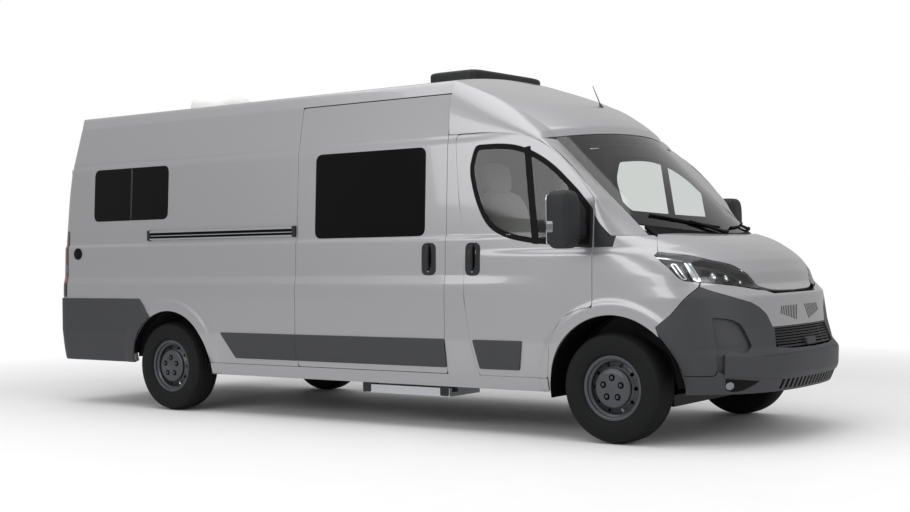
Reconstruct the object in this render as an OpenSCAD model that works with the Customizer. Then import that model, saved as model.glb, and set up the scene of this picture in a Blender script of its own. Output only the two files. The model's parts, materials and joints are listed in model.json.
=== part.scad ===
// Long-wheelbase panel-van camper: hinged cab doors, bonnet and rear doors, steered
// front wheels, side sliding door, entry step and roof units.
// +X forward, +Y left, +Z up; origin on the ground at mid length.

/* [Chassis] */
// Distance between the axles
wheelbase = 4035; // [3700:5:4300]
// Front axle to the tip of the front bumper
front_overhang = 948; // [930:1:980]
// Rear axle to the back of the rear bumper
rear_overhang = 1380; // [1300:5:1500]
// Distance between the middles of the front tyres
track_front = 1810; // [1790:1:1820]
// Distance between the middles of the rear tyres
track_rear = 1790; // [1780:1:1810]
// Steering lock to each side, in degrees
steer_lock = 34; // [20:1:35]

/* [Body] */
// Width over the side panels
body_width = 2050; // [2030:2:2070]
// Height of the roof at mid width
roof_height = 2500; // [2480:2:2540]
// Thickness of the side walls, doors and roof
wall = 45; // [40:1:50]
// Gap round a door or the bonnet
shut_gap = 6; // [5:0.5:8]
// Gap between fixed panels that meet
seam = 0.5; // [0.3:0.1:0.8]
// Corner radius of the body at the back, seen from above
rear_corner_r = 110; // [90:5:130]
// Bottom edge of the doors and side panels
door_bottom = 395; // [385:1:410]
// Bottom edge of the sills
sill_bottom = 300; // [285:1:310]
// Top of the load floor
floor_top = 545; // [535:1:555]
// Thickness of the floor
floor_thick = 40; // [30:1:45]

/* [Wheels] */
// Tyre radius
tyre_r = 350; // [340:1:352]
// Tyre width
tyre_w = 225; // [205:1:226]
// Rim radius at the bead
rim_r = 196; // [190:1:198]
// Wheel arch radius
arch_r = 452; // [446:1:456]
// Wheel hub bore radius
hub_bore_r = 32; // [28:1:34]

/* [Hinges] */
// Radius of the door hinge pins
pin_r = 5; // [4:0.5:5.5]
// Radius of the hinge barrels
barrel_r = 9; // [8:0.5:10]
// Radial clearance of a pin in its bore
pin_clear = 0.3; // [0.2:0.05:0.4]

/* [Hidden] */
$fn = 48;
length = front_overhang + wheelbase + rear_overhang;
front_x = length / 2 - front_overhang;
rear_x = front_x - wheelbase;
half_w = body_width / 2;
front_end = front_x + front_overhang;
rear_end = rear_x - rear_overhang;
far = 9000;

// Body section: height, inset of the skin from the full half width
SECTION = [[sill_bottom, 60], [400, 33], [470, 19], [620, 0], [900, 0], [1190, 9], [1230, 26],
    [1420, 37], [1960, 74], [2020, 79], [roof_height - 200, 139], [roof_height - 160, 150],
    [roof_height - 100, 172]];
roof_edge_z = roof_height - 100;
roof_edge_y = half_w - 172;
gutter_z = roof_height - 190;

// Half width of the side skin at a height
function skin(z) = half_w - lookup(z, SECTION);
// Height of the roof at a distance from mid width
function roof_z(y) = roof_edge_z + (roof_height - roof_edge_z) * (1 - pow(min(1, abs(y) / roof_edge_y), 2.2));
// Narrowing of the cab towards the nose, from the B-pillar forward
b_pillar_x = front_x - 1276;
function narrowing(x, z) =
    let (t = max(0, (x - b_pillar_x) / 1300)) pow(t, 2) * (z > 1190 ? 20 + (z - 1190) * 0.035 : 20);
function cab_skin(x, z) = skin(z) - narrowing(x, z);
// Inset of the rear doors' skin from the back of the bumper, by height
REAR_LEAN = [[300, 35], [1300, 43], [1750, 70], [roof_height - 400, 120], [roof_height - 100, 157],
    [roof_height + 100, 180]];
function rear_face(z) = rear_end + lookup(z, REAR_LEAN);

// Windscreen: a cylinder bowed in plan that leans back
screen_base = [400, 1285];
screen_slope = 0.967;
screen_bow = 230;
screen_half = 780;
// Half width of the glass itself
screen_edge = 768;
// Top of the wings, where the pillars stand
nose_top = 1306;
function screen_x(y, z) =
    front_x + screen_base[0] + (screen_base[1] - z) / screen_slope - screen_bow * pow(y / screen_half, 2);

// Mirror image about the middle of the van
module both_sides() {
    children();
    mirror([0, 1, 0]) children();
}

// Extrude a YZ outline along X
module along_x(x0, x1) {
    translate([x0, 0, 0]) rotate([90, 0, 90]) linear_extrude(x1 - x0) children();
}

// Extrude an XZ outline along Y
module along_y(y0, y1) {
    translate([0, y1, 0]) rotate([90, 0, 0]) linear_extrude(y1 - y0) children();
}

// Axis-aligned block between two corners
module block(low, high) {
    translate(low) cube(high - low);
}

// Closed solid between an outer and an inner grid of points with the same rows and columns
module thick_patch(outer, inner) {
    rows = len(outer);
    cols = len(outer[0]);
    count = rows * cols;
    points = [for (r = outer) each r, for (r = inner) each r];
    quads = [for (i = [0:rows - 2], j = [0:cols - 2])
        [i * cols + j, i * cols + j + 1, (i + 1) * cols + j + 1, (i + 1) * cols + j]];
    edge = [for (j = [0:cols - 2]) [j, j + 1], for (i = [0:rows - 2]) [i * cols + cols - 1, (i + 1) * cols + cols - 1],
        for (j = [cols - 2:-1:0]) [(rows - 1) * cols + j + 1, (rows - 1) * cols + j],
        for (i = [rows - 2:-1:0]) [(i + 1) * cols, i * cols]];
    polyhedron(points, [
        for (q = quads) each [[q[2], q[1], q[0]], [q[3], q[2], q[0]]],
        for (q = quads) each [[q[0] + count, q[1] + count, q[2] + count], [q[0] + count, q[2] + count, q[3] + count]],
        for (e = edge) each [[e[0] + count, e[0], e[1]], [e[1] + count, e[0] + count, e[1]]]]);
}

// Rounded rectangle from its corners
module rounded(low, high, r) {
    hull() for (x = [low[0] + r, high[0] - r], y = [low[1] + r, high[1] - r]) translate([x, y]) circle(r, $fn = 32);
}

// Outer or inner solid of the body behind the cab, shrunk by an inset
module rear_body(inset) {
    zs = [for (r = SECTION) r[0]];
    side = [for (z = zs) [skin(z) - inset, z]];
    crown = [for (i = [0:7]) let (y = (roof_edge_y - inset) * (1 - i / 8)) [y, roof_z(y * roof_edge_y / (roof_edge_y - inset)) - inset]];
    outline = [each side, each [for (p = crown) if (p[0] < skin(zs[len(zs) - 1]) - inset) p], [0, roof_height - inset]];
    mirrored = [for (i = [len(outline) - 2:-1:0]) [-outline[i][0], outline[i][1]]];
    lean = [for (r = REAR_LEAN) [rear_end + r[1] + inset, r[0]]];
    intersection() {
        along_x(rear_end, b_pillar_x) polygon([each outline, each mirrored]);
        along_y(-half_w, half_w) polygon([each lean, [b_pillar_x + 1, roof_height + 100], [b_pillar_x + 1, 300]]);
        translate([rear_end + 35 + inset, 0, 0]) linear_extrude(roof_height + 100) union() {
            translate([0, -(half_w - inset) + rear_corner_r]) square([length, 2 * (half_w - inset - rear_corner_r)]);
            translate([rear_corner_r, -(half_w - inset)]) square([length, 2 * (half_w - inset)]);
            for (s = [-1, 1]) translate([rear_corner_r, s * (half_w - inset - rear_corner_r)]) circle(rear_corner_r);
        }
    }
}

module rear_shell() {
    difference() {
        rear_body(0);
        rear_body(wall);
    }
}

// Sliding door, rear door and arch outlines
slide_front = b_pillar_x;
slide_rear = b_pillar_x - 1376;
slide_top = gutter_z - 6;
rear_door_half = 800;
rear_door_bottom = 520;
rear_door_top = gutter_z - 40;
arch_z = tyre_r;
panel_front_left = b_pillar_x;

module rear_arch() {
    intersection() {
        translate([rear_x + 25, 0, arch_z]) rotate([90, 0, 0]) cylinder(r = arch_r - 12, h = body_width + 200, center = true);
        block([rear_x - 385, -half_w - 100, 0], [rear_x + 600, half_w + 100, 1000]);
    }
}

module front_arch() {
    translate([front_x + 8, 0, arch_z]) rotate([90, 0, 0]) cylinder(r = arch_r + 8, h = body_width + 200, center = true);
}

// Window cut-outs: x from, x to, z from, z to
WINDOW_SLIDE = [front_x - 2475, front_x - 1461, 1332, 1947];
WINDOW_REAR = [rear_x - 915, rear_x - 15, 1520, 1950];
WINDOW_LEFT = [front_x - 2475, front_x - 1461, 1400, 1947];
window_r = 60;

module window_prism(w, grow, y0, y1) {
    along_y(y0, y1) rounded([w[0] - grow, w[2] - grow], [w[1] + grow, w[3] + grow], window_r + grow);
}

// The rear doors' opening and all openings of the rear shell
module rear_door_hole(gap) {
    block([rear_end - 10, -rear_door_half - gap, rear_door_bottom - gap],
        [rear_end + 400, rear_door_half + gap, rear_door_top + gap]);
}

module slide_hole(gap) {
    block([slide_rear - gap, -half_w - 50, door_bottom - gap], [slide_front + gap, -half_w + 250, slide_top + gap]);
}

cladding_top = 882;
strip_low = 440;
strip_high = 630;

module side_panel(front) {
    difference() {
        intersection() {
            rear_shell();
            block([rear_end, -half_w - 10, sill_bottom + 60], [front, -100, gutter_z - seam]);
        }
        rear_door_hole(shut_gap);
        rear_arch();
        window_prism(WINDOW_REAR, 0, -half_w - 50, -half_w + 250);
        lamp_block(seam);
        block([rear_x + 300, -half_w - 10, 0], [slide_front + 10, 0, door_bottom]);
    }
    for (z = HINGE_ROWS) hinge_fixed(rear_hinge, z, [rear_hinge[0] - 5, rear_hinge[1] - 21], [rear_face(z) + 30, rear_hinge[1] - 3]);
}

module side_panel_right() {
    color("silver") union() side_panel(slide_rear - shut_gap);
}

module side_panel_left() {
    color("silver") difference() {
        mirror([0, 1, 0]) side_panel(b_pillar_x - seam);
        window_prism(WINDOW_LEFT, 0, half_w - 250, half_w + 50);
    }
}

module roof() {
    color("silver") difference() {
        intersection() {
            rear_shell();
            block([rear_end, -half_w, gutter_z], [b_pillar_x - seam, half_w, roof_height + 10]);
        }
        rear_door_hole(shut_gap);
    }
}

module sliding_door() {
    color("silver") difference() {
        intersection() {
            rear_shell();
            block([slide_rear, -half_w - 10, door_bottom], [slide_front - shut_gap, -half_w + 300, slide_top]);
        }
        window_prism(WINDOW_SLIDE, 0, -half_w - 50, -half_w + 250);
    }
}

// Panes that sit in the openings, flush with the skin
module pane(w, y_side) {
    mid = (w[2] + w[3]) / 2;
    s = sign(y_side);
    grid = [for (z = [w[2] + seam, mid, w[3] - seam]) [for (x = [w[0] + seam, w[1] - seam]) [x, s * (skin(z) - 4), z]]];
    back = [for (r = grid) [for (p = r) [p[0], p[1] - s * 12, p[2]]]];
    intersection() {
        if (s < 0) thick_patch(grid, back); else thick_patch(back, grid);
        window_prism([w[0] + seam, w[1] - seam, w[2] + seam, w[3] - seam], 0, -half_w, half_w);
    }
}

module side_windows() {
    color("black") {
        pane(WINDOW_SLIDE, -1);
        pane(WINDOW_REAR, -1);
        pane(WINDOW_LEFT, 1);
        pane(WINDOW_REAR, 1);
    }
}

// Rear doors with a window each, hinged at their outer edges
rear_hinge = [rear_end + 15, -rear_door_half - shut_gap / 2];
REAR_WINDOW = [150, 690, 1420, 1930];
HINGE_ROWS = [760, 1300, 1950];

module rear_door_right() {
    color("silver") union() {
        difference() {
            intersection() {
                rear_shell();
                block([rear_end, -rear_door_half, rear_door_bottom], [rear_end + 400, -shut_gap / 2, rear_door_top]);
            }
            along_x(rear_end, rear_end + 400) rounded([-REAR_WINDOW[1], REAR_WINDOW[2]], [-REAR_WINDOW[0], REAR_WINDOW[3]], 50);
        }
        for (z = HINGE_ROWS) hinge_moving(rear_hinge, z, rear_hinge + [-5, 3], [rear_face(z) + 30, rear_hinge[1] + 44]);
    }
}

module rear_door_left() {
    mirror([0, 1, 0]) rear_door_right();
}

module rear_glass_right() {
    y0 = -REAR_WINDOW[1] + seam;
    y1 = -REAR_WINDOW[0] - seam;
    zs = [REAR_WINDOW[2] + seam, 1750, REAR_WINDOW[3] - seam];
    outer = [for (z = zs) [for (y = [y0, y1]) [rear_face(z) + 4, y, z]]];
    inner = [for (r = outer) [for (p = r) [p[0] + 14, p[1], p[2]]]];
    color("black") intersection() {
        thick_patch(inner, outer);
        along_x(rear_end, rear_end + 400) rounded([y0, zs[0]], [y1, zs[2]], 50);
    }
}

module rear_glass_left() {
    mirror([0, 1, 0]) rear_glass_right();
}

// Grid of the cab side skin between x and z limits, at an inset
function side_grid(xs, zs, inset) = [for (z = zs) [for (x = xs) [x, -(cab_skin(x, z) - inset), z]]];

module cab_side_slab(xs, zs, thick) {
    thick_patch(side_grid(xs, zs, 0), side_grid(xs, zs, thick));
}

// Cab door outline in XZ, from the front axle: rear edge, top, windscreen pillar, front edge, arch
DOOR = [[-1014, door_bottom], [-1031, 456], [-1058, 595], [-1111, 896], [-1124, 1299], [-1173, 1568], [-1202, 1905],
    [-1206, 1990], [-1190, 2012], [-860, 2012], [-700, 1990], [-540, 1935], [-420, 1855], [-300, 1745], [-190, 1620],
    [-130, 1540], [-130, 860], [-240, 846], [-355, 790], [-440, 660], [-476, door_bottom]];
GLASS = [[-1060, 1900], [-1096, 1769], [-1042, 1565], [-963, 1416], [-880, 1345], [-760, 1300], [-554, 1262], [-150, 1250],
    [-150, 1490], [-245, 1603], [-392, 1745], [-500, 1825], [-619, 1888], [-740, 1925], [-856, 1937], [-1035, 1937]];
SAIL = [[-150, 1250], [-150, 1490], [-235, 1590], [-255, 1257]];
door_thick = 50;
DOOR_XS = [for (x = [-1276, -1000, -700, -400, -130]) front_x + x];
DOOR_ZS = [door_bottom - 10, 470, 620, 900, 1190, 1230, 1420, 1690, 1960, 2030];
cab_hinge = [front_x - 127, -(half_w + 6)];
CAB_HINGES = [960, 1180];

// Fixed half of a vertical hinge: two knuckles and the pin, with a leaf reaching along X and Y
module hinge_fixed(axis, z, leaf_low, leaf_high) {
    translate([axis[0], axis[1], z - 32]) cylinder(r = pin_r, h = 64, $fn = 24);
    for (s = [-1, 1]) translate([0, 0, z + s * 24]) {
        translate([axis[0], axis[1], -8]) cylinder(r = barrel_r, h = 16, $fn = 24);
        block([leaf_low[0], leaf_low[1], -8], [leaf_high[0], leaf_high[1], 8]);
    }
}

// Moving half: the middle knuckle with its bore and leaf
module hinge_moving(axis, z, leaf_low, leaf_high) {
    difference() {
        union() {
            translate([axis[0], axis[1], z - 15.5]) cylinder(r = barrel_r, h = 31, $fn = 24);
            block([leaf_low[0], leaf_low[1], z - 15.5], [leaf_high[0], leaf_high[1], z + 15.5]);
        }
        translate([axis[0], axis[1], z - 16]) cylinder(r = pin_r + pin_clear, h = 32, $fn = 24);
    }
}

function shifted(p) = [for (q = p) [front_x + q[0], q[1]]];

module cab_door_right() {
    color("silver") union() {
        difference() {
            intersection() {
                cab_side_slab(DOOR_XS, DOOR_ZS, door_thick);
                along_y(-half_w - 50, -half_w + 300) polygon(shifted(DOOR));
            }
            along_y(-half_w - 50, -half_w + 300) polygon(shifted(GLASS));
        }
        for (z = CAB_HINGES) hinge_moving(cab_hinge, z, cab_hinge + [-44, -5], cab_hinge + [-3, 40]);
    }
}

module cab_door_left() {
    mirror([0, 1, 0]) cab_door_right();
}

module cab_glass_right() {
    xs = [for (x = [-1110, -700, -400, -130]) front_x + x];
    zs = [1240, 1420, 1690, 1950];
    color("black") difference() {
        intersection() {
            thick_patch(side_grid(xs, zs, 6), side_grid(xs, zs, 14));
            along_y(-half_w - 50, -half_w + 300) offset(delta = -seam) polygon(shifted(GLASS));
        }
        along_y(-half_w - 50, -half_w + 300) polygon(shifted([[-100, 1200], [-100, 1700], [-228.4, 1700], [-258.4, 1200]]));
    }
}

module cab_glass_left() {
    mirror([0, 1, 0]) cab_glass_right();
}

// Mirror with its arm, pull handle and rubbing strip of a cab door
MIRROR = [-330, -140, 1227, 1594];
mirror_out = 1285;

module cab_trim_right() {
    xs = [for (x = [-280, -130]) front_x + x];
    zs = [1240, 1420, 1560];
    color("dimgray") union() {
        intersection() {
            thick_patch(side_grid(xs, zs, -2), side_grid(xs, zs, 30));
            along_y(-half_w - 50, -half_w + 300) offset(delta = -seam) polygon(shifted(SAIL));
        }
        translate([front_x + MIRROR[0], 0, 0]) hull() {
            for (z = [MIRROR[2] + 40, MIRROR[3] - 40], y = [1095, mirror_out - 40], x = [35, MIRROR[1] - MIRROR[0] - 50])
                translate([x, -y, z]) sphere(35, $fn = 16);
        }
        hull() {
            block([front_x - 235, -985, 1280], [front_x - 165, -965, 1400]);
            block([front_x - 245, -1095, 1310], [front_x - 185, -1085, 1390]);
        }
    }
    color("dimgray") intersection() {
        thick_patch(side_grid(DOOR_XS, DOOR_ZS, -14), side_grid(DOOR_XS, DOOR_ZS, -seam));
        along_y(-half_w - 50, 0) union() {
            polygon(shifted([[-1000, strip_low], [-1042, strip_high], [-655, strip_high], [-690, strip_low]]));
            rounded([front_x - 1103, 1064], [front_x - 993, 1276], 40);
        }
    }
}

module cab_trim_left() {
    mirror([0, 1, 0]) cab_trim_right();
}

// Front roof dome: distance from the front axle along the middle, height there, bow of the row in plan, share of the glass lean
DOME = [[-350, 2016, 230, 1], [-366, 2075, 225, 0.9], [-445, 2135, 215, 0.5], [-618, 2248, 180, 0], [-830, 2340, 130, 0], [-1030, 2415, 70, 0],
    [-1276, roof_height, 0, 0]];
dome_cols = 10;
// Lower edge of the dome's side: distance from the front axle, height
DOME_SIDE = [[-1276, 2018], [-1000, 2018], [-860, 2000], [-700, 1980], [-540, 1925], [-440, 1860]];

function lerp(a, b, t) = a + (b - a) * t;
function bez(a, b, c, t) = a * (1 - t) * (1 - t) + 2 * b * t * (1 - t) + c * t * t;
// Point of the dome: row of the table and share of the way from the middle to the side
function dome_point(r, s, inset) =
    let (row = DOME[r], f = r / (len(DOME) - 1), edge_y = lerp(768, roof_edge_y, f), t = min(1, s / 0.72),
        drop = lerp(45, roof_height - roof_edge_z, f) * pow(t, 2.2), back = inset * 0.7 * (1 - f), down = inset * (0.55 + 0.45 * f),
        x = front_x + row[0] - row[2] * pow(t, 2) + drop * row[3] / screen_slope - back, z = row[1] - drop - down)
    s <= 0.72 ? [x, (edge_y - inset * 0.5) * t, z] :
    let (u = (s - 0.72) / 0.28, low_z = lookup(x - front_x, DOME_SIDE), low_y = cab_skin(x, low_z) - inset,
        mid = [low_y - 8, lerp(z, low_z, 0.25)])
    [x, bez(edge_y - inset * 0.5, mid[0], low_y, u), bez(z, mid[1], low_z, u)];

module cab_roof() {
    cols = [for (j = [-dome_cols:dome_cols]) j / dome_cols];
    grid = [for (i = [0, wall]) [for (r = [0:len(DOME) - 1]) [for (s = cols) let (p = dome_point(r, abs(s), i)) [p[0], sign(s) * p[1], p[2]]]]];
    color("silver") difference() {
        thick_patch(grid[0], grid[1]);
        both_sides() door_prism(shut_gap);
    }
}

// Room that the right-hand cab door needs, grown by a gap
module door_prism(grow) {
    xs = [front_x - 1290, for (x = DOOR_XS) x, front_x - 90];
    zs = [door_bottom - 40, for (z = DOOR_ZS) z, 2080];
    intersection() {
        thick_patch(side_grid(xs, zs, -30), side_grid(xs, zs, door_thick + grow));
        along_y(-half_w - 50, -half_w + 300) offset(delta = grow) polygon(shifted(DOOR));
    }
}

// Windscreen pillars: level rows from the door opening round to the glass edge
PILLAR_X = [[nose_top, -126], [1540, -126], [1620, -186], [1745, -296], [1855, -416], [1920, -505]];
pillar_cols = 6;
pillar_wall = 32;

module a_pillars() {
    zs = [nose_top + seam, 1420, 1540, 1620, 1745, 1855, 1915];
    grid = [for (inset = [0, pillar_wall]) [for (z = zs) let (x0 = front_x + lookup(z, PILLAR_X), y0 = cab_skin(x0, z) - inset, y1 = screen_edge + seam,
        x1 = screen_x(y1, z) - inset * 0.9, cx = lerp(x0, x1, 0.62) + 22, cy = y0 - 14)
        [for (j = [0:pillar_cols]) let (t = j / pillar_cols) [bez(x0, cx, x1, t), -bez(y0, cy, y1, t), z]]]];
    color("silver") both_sides() difference() {
        thick_patch(grid[0], grid[1]);
        door_prism(shut_gap);
    }
}

// Lower and upper edge of the windscreen across the van
function screen_low(y) = lerp(1312, 1380, pow(abs(y) / screen_half, 2));
function screen_top(y) = 2012 - 45 * pow(abs(y) / 768, 2.2);

module windscreen() {
    ys = [for (j = [-10:10]) j / 10 * screen_edge];
    outer = [for (i = [0:5]) [for (y = ys) let (z = lerp(screen_low(y), screen_top(y), i / 5)) [screen_x(y, z) - 3, y, z]]];
    inner = [for (r = outer) [for (p = r) [p[0] - 8, p[1], p[2] - 8]]];
    color("gray") thick_patch(outer, inner);
}

// Nose outlines by height: height, middle of the front, exponent along, root across
NOSE = [[318, 900, 3.4, 2.5], [350, 915, 3.4, 2.5], [430, 946, 3.4, 2.5], [559, 948, 3.4, 2.5], [600, 905, 3.5, 2.5], [726, 856, 4.0, 2.5],
    [917, 826, 4.0, 2.5], [985, 752, 4.0, 2.5], [1060, 738, 3.8, 2.3], [1141, 700, 3.1, 2.1], [1195, 650, 2.6, 2], [1244, 580, 2.3, 2],
    [1279, 505, 2.1, 2], [1306, 410, 2, 2]];
nose_cols = 14;
nose_wall = 30;
nose_back = front_x - 130;

// Point on a nose outline: row and share of the way from the side (0) to the middle of the front (1)
function nose_point(row, s, inset) =
    let (u = pow(sin(s * 90), 0.85), run = front_x + row[1] - inset - nose_back)
    [nose_back + run * u, (cab_skin(nose_back, row[0]) - inset) * pow(max(0, 1 - pow(u, row[2])), 1 / row[3]), row[0]];

function nose_grid(z0, z1, inset, down) = [for (r = NOSE) if (r[0] >= z0 - 1 && r[0] <= z1 + 1) [for (j = [-nose_cols:nose_cols])
    let (p = nose_point(r, 1 - abs(j) / nose_cols, inset)) [p[0], sign(j) * p[1], p[2] - down]]];

module nose_patch(z0, z1, drop) {
    thick_patch(nose_grid(z0, z1, 0, 0), nose_grid(z0, z1, nose_wall, drop));
}

// Bonnet outline seen from above, one half: from the front axle, half width
BONNET = [[395, 0], [363, 300], [200, 740], [260, 765], [420, 720], [560, 610], [690, 420], [760, 380], [800, 0]];
bonnet_hinge = [front_x + 186, 1296];
bonnet_ear = 748;

module bonnet_plan(grow) {
    half = [for (p = BONNET) [front_x + p[0], p[1]]];
    back = [for (i = [len(half) - 2:-1:1]) [half[i][0], -half[i][1]]];
    linear_extrude(2000) offset(delta = grow) polygon([each half, each back]);
}

module bonnet() {
    color("silver") union() {
        intersection() {
            nose_patch(985, 1305, 12);
            bonnet_plan(0);
        }
        both_sides() difference() {
            union() {
                translate([bonnet_hinge[0], -bonnet_ear - 8, bonnet_hinge[1]]) rotate([-90, 0, 0]) cylinder(r = barrel_r, h = 16, $fn = 24);
                block([bonnet_hinge[0], -bonnet_ear - 8, bonnet_hinge[1] - 20], [bonnet_hinge[0] + 50, -bonnet_ear + 8, bonnet_hinge[1] - 6]);
            }
            translate([bonnet_hinge[0], -bonnet_ear - 9, bonnet_hinge[1]]) rotate([-90, 0, 0]) cylinder(r = pin_r + pin_clear, h = 18, $fn = 24);
        }
    }
}

module wings() {
    color("silver") both_sides() difference() {
        union() {
            difference() {
                intersection() {
                    nose_patch(318, nose_top, 6);
                    along_y(-half_w - 50, -300) polygon(shifted([[-124, 700], [-124, nose_top], [250, nose_top], [250, 1192], [536, 985], [308, 740], [-10, 700]]));
                }
                bonnet_plan(shut_gap);
                lamp_prism(seam);
                block([front_x - 130, -738, 1200], [front_x + 230, 0, 1400]);
                block([bonnet_hinge[0] - 16, -bonnet_ear - 14, 1200], [bonnet_hinge[0] + 60, -bonnet_ear + 14, 1400]);
            }
            intersection() {
                cab_side_slab([for (x = [-476, -300, -123]) front_x + x], [sill_bottom, 400, 470, 620, 900], nose_wall);
                along_y(-half_w - 50, -300) polygon(shifted([[-470, sill_bottom], [-470, 900], [-123, 900], [-123, 700], [-300, 500], [-400, sill_bottom]]));
            }
            translate([bonnet_hinge[0], -bonnet_ear - 30, bonnet_hinge[1]]) rotate([-90, 0, 0]) cylinder(r = pin_r, h = 40, $fn = 24);
            block([bonnet_hinge[0] - 6, -bonnet_ear - 30, bonnet_hinge[1] - 40], [bonnet_hinge[0] + 6, -bonnet_ear - 12, bonnet_hinge[1] + 4]);
            for (z = CAB_HINGES) hinge_fixed(cab_hinge, z, cab_hinge + [3, -5], cab_hinge + [44, 40]);
        }
        door_prism(shut_gap);
        front_arch();
    }
}

// Headlamp outline in XZ, from the front axle
LAMP = [[250, 1187], [543, 987], [640, 966], [760, 956], [760, 1300], [250, 1300]];

module lamp_prism(grow) {
    along_y(-half_w - 50, -300) offset(delta = grow) polygon(shifted(LAMP));
}

module headlamps() {
    color("gray") both_sides() difference() {
        intersection() {
            nose_patch(917, 1244, 6);
            lamp_prism(0);
        }
        bonnet_plan(shut_gap);
    }
}

module front_bumper() {
    color("dimgray") difference() {
        intersection() {
            nose_patch(318, 985, 0);
            along_y(-half_w - 50, half_w + 50) polygon(shifted([[440, 317], [314, 734], [549, 990], [760, 950], [960, 950], [960, 317]]));
        }
        both_sides() lamp_prism(seam);
        front_arch();
        grille_prism(seam);
    }
}

// Outline of the painted panel between the lamps, seen from the front
module grille_prism(grow) {
    along_x(front_x + 700, front_end + 10) offset(delta = grow) polygon([[-455, 726], [455, 726], [465, 917], [-465, 917]]);
}

module grille_panel() {
    color("silver") intersection() {
        nose_patch(726, 917, 0);
        grille_prism(0);
    }
}

module engine() {
    color("gray") block([front_x - 60, -360, 320], [front_x + 480, 330, 1050]);
}

// Plenum between windscreen, bonnet and wings, with two wiper arms
COWL_EDGE = [[0, 389], [300, 357], [740, 194], [800, 140]];
COWL_Z = [[0, 1298], [300, 1294], [740, 1296], [800, 1300]];

module cowl() {
    ys = [for (j = [-8:8]) j / 8 * 732];
    front = [for (y = ys) [front_x + lookup(abs(y), COWL_EDGE), y, lookup(abs(y), COWL_Z)]];
    back = [for (y = ys) let (z = screen_low(y) - 0.6) [screen_x(y, z) - 2.4, y, z]];
    inner = [for (r = [back, front]) [for (p = r) [p[0], p[1], p[2] - 25]]];
    color("black") thick_patch(inner, [back, front]);
}

// Floor plate, wheel boxes, footwell and firewall
floor_half = half_w - 60 - seam;
floor_low = floor_top - floor_thick;
house_in = track_front / 2 - 315;
house_skin = 8;

module wheel_house(x, r, y0, y1, low) {
    difference() {
        translate([x, -y1, arch_z]) rotate([-90, 0, 0]) cylinder(r = r + house_skin, h = y1 - y0);
        translate([x, -y1 - 1, arch_z]) rotate([-90, 0, 0]) cylinder(r = r, h = y1 - y0 + 1 - house_skin);
        block([x - 600, -half_w, -300], [x + 600, 0, low]);
    }
}

rear_house_r = arch_r - 12;
front_house_r = arch_r + 8;
rear_house_in = track_rear / 2 - 275;

// Cylinder of a wheel house's outside, for cuts beside it
module house_cut(x, r, y0) {
    translate([x, -half_w, arch_z]) rotate([-90, 0, 0]) cylinder(r = r + house_skin + seam, h = half_w - y0 + seam);
}

module floor() {
    color("gray") union() {
        intersection() {
            difference() {
                block([rear_end + 120, -floor_half, floor_low], [b_pillar_x, floor_half, floor_top]);
                both_sides() house_cut(rear_x + 25, rear_house_r, rear_house_in);
            }
            rear_body(wall + seam);
        }
        block([b_pillar_x - 1, -half_w + 85, floor_low], [front_x - 480, half_w - 85, floor_top]);
        block([front_x - 490, -house_in + seam, floor_low], [front_x - 260, house_in - seam, floor_top]);
    }
}

// Wheel boxes that stand up from the floor
module wheel_boxes() {
    color("gray") both_sides() {
        intersection() {
            wheel_house(rear_x + 25, rear_house_r, rear_house_in, half_w - 62, arch_z + 60);
            rear_body(wall + seam);
        }
        difference() {
            wheel_house(front_x + 8, front_house_r, house_in, house_in + 270, arch_z + 30);
            block([front_x - 75, -house_in - 20, king_high - 12], [front_x + 75, -house_in + 20, king_high + 34]);
        }
    }
}

// Toe board and bulkhead between the cab and the engine
module firewall() {
    color("gray") union() {
        along_y(-house_in + seam, house_in - seam) polygon(shifted([[-260 + seam, floor_low], [-260 + seam, floor_top],
            [-110, 720], [-110, 1262], [-85, 1262], [-85, 700], [-225, floor_low]]));
        both_sides() difference() {
            block([front_x - 110, -house_in - 270, 700], [front_x - 85, -house_in + 5, 1262]);
            house_cut(front_x + 8, front_house_r, house_in);
        }
    }
}

// Sills with their inner webs, and the posts behind the cab doors

module body_frame() {
    edge = [for (i = [0:7]) [DOOR[i][0] - shut_gap, DOOR[i][1]]];
    color("silver") both_sides() union() {
        intersection() {
            rear_shell();
            block([rear_x + 25 + arch_r - 6, -half_w - 10, sill_bottom], [b_pillar_x, -half_w + 200, door_bottom - shut_gap]);
        }
        block([rear_x + 25 + arch_r - 6, -half_w + 105, sill_bottom], [front_x - 478, -half_w + 140, floor_low - seam]);
        block([rear_x + 25 + arch_r - 6, -half_w + 70, sill_bottom], [front_x - 478, -half_w + 140, sill_bottom + 40]);
        intersection() {
            cab_side_slab([for (x = [-1276, -1000, -700, -478]) front_x + x], [sill_bottom, door_bottom - shut_gap], door_thick);
            block([b_pillar_x, -half_w - 10, sill_bottom], [front_x - 478, 0, door_bottom]);
        }
        intersection() {
            cab_side_slab([for (x = [-1276, -1100, -990]) front_x + x], [sill_bottom, for (z = DOOR_ZS) z], door_thick);
            along_y(-half_w - 50, 0) polygon(shifted([[-1276, sill_bottom], [-1010 - shut_gap, sill_bottom], each edge, [-1200, 2017.5], [-1276, 2017.5]]));
        }
    }
}

// Subframe with lower and upper arms that carry the steering knuckles
king_y = track_front / 2 - 105;
king_r = 12;
king_low = 215;
king_high = 480;

module arm(z) {
    difference() {
        hull() {
            translate([front_x, -king_y, z]) cylinder(r = 26, h = 22);
            translate([front_x, -430, z]) cylinder(r = 50, h = 22);
        }
        translate([front_x, -king_y, z - 1]) cylinder(r = king_r + pin_clear, h = 24);
    }
}

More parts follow.
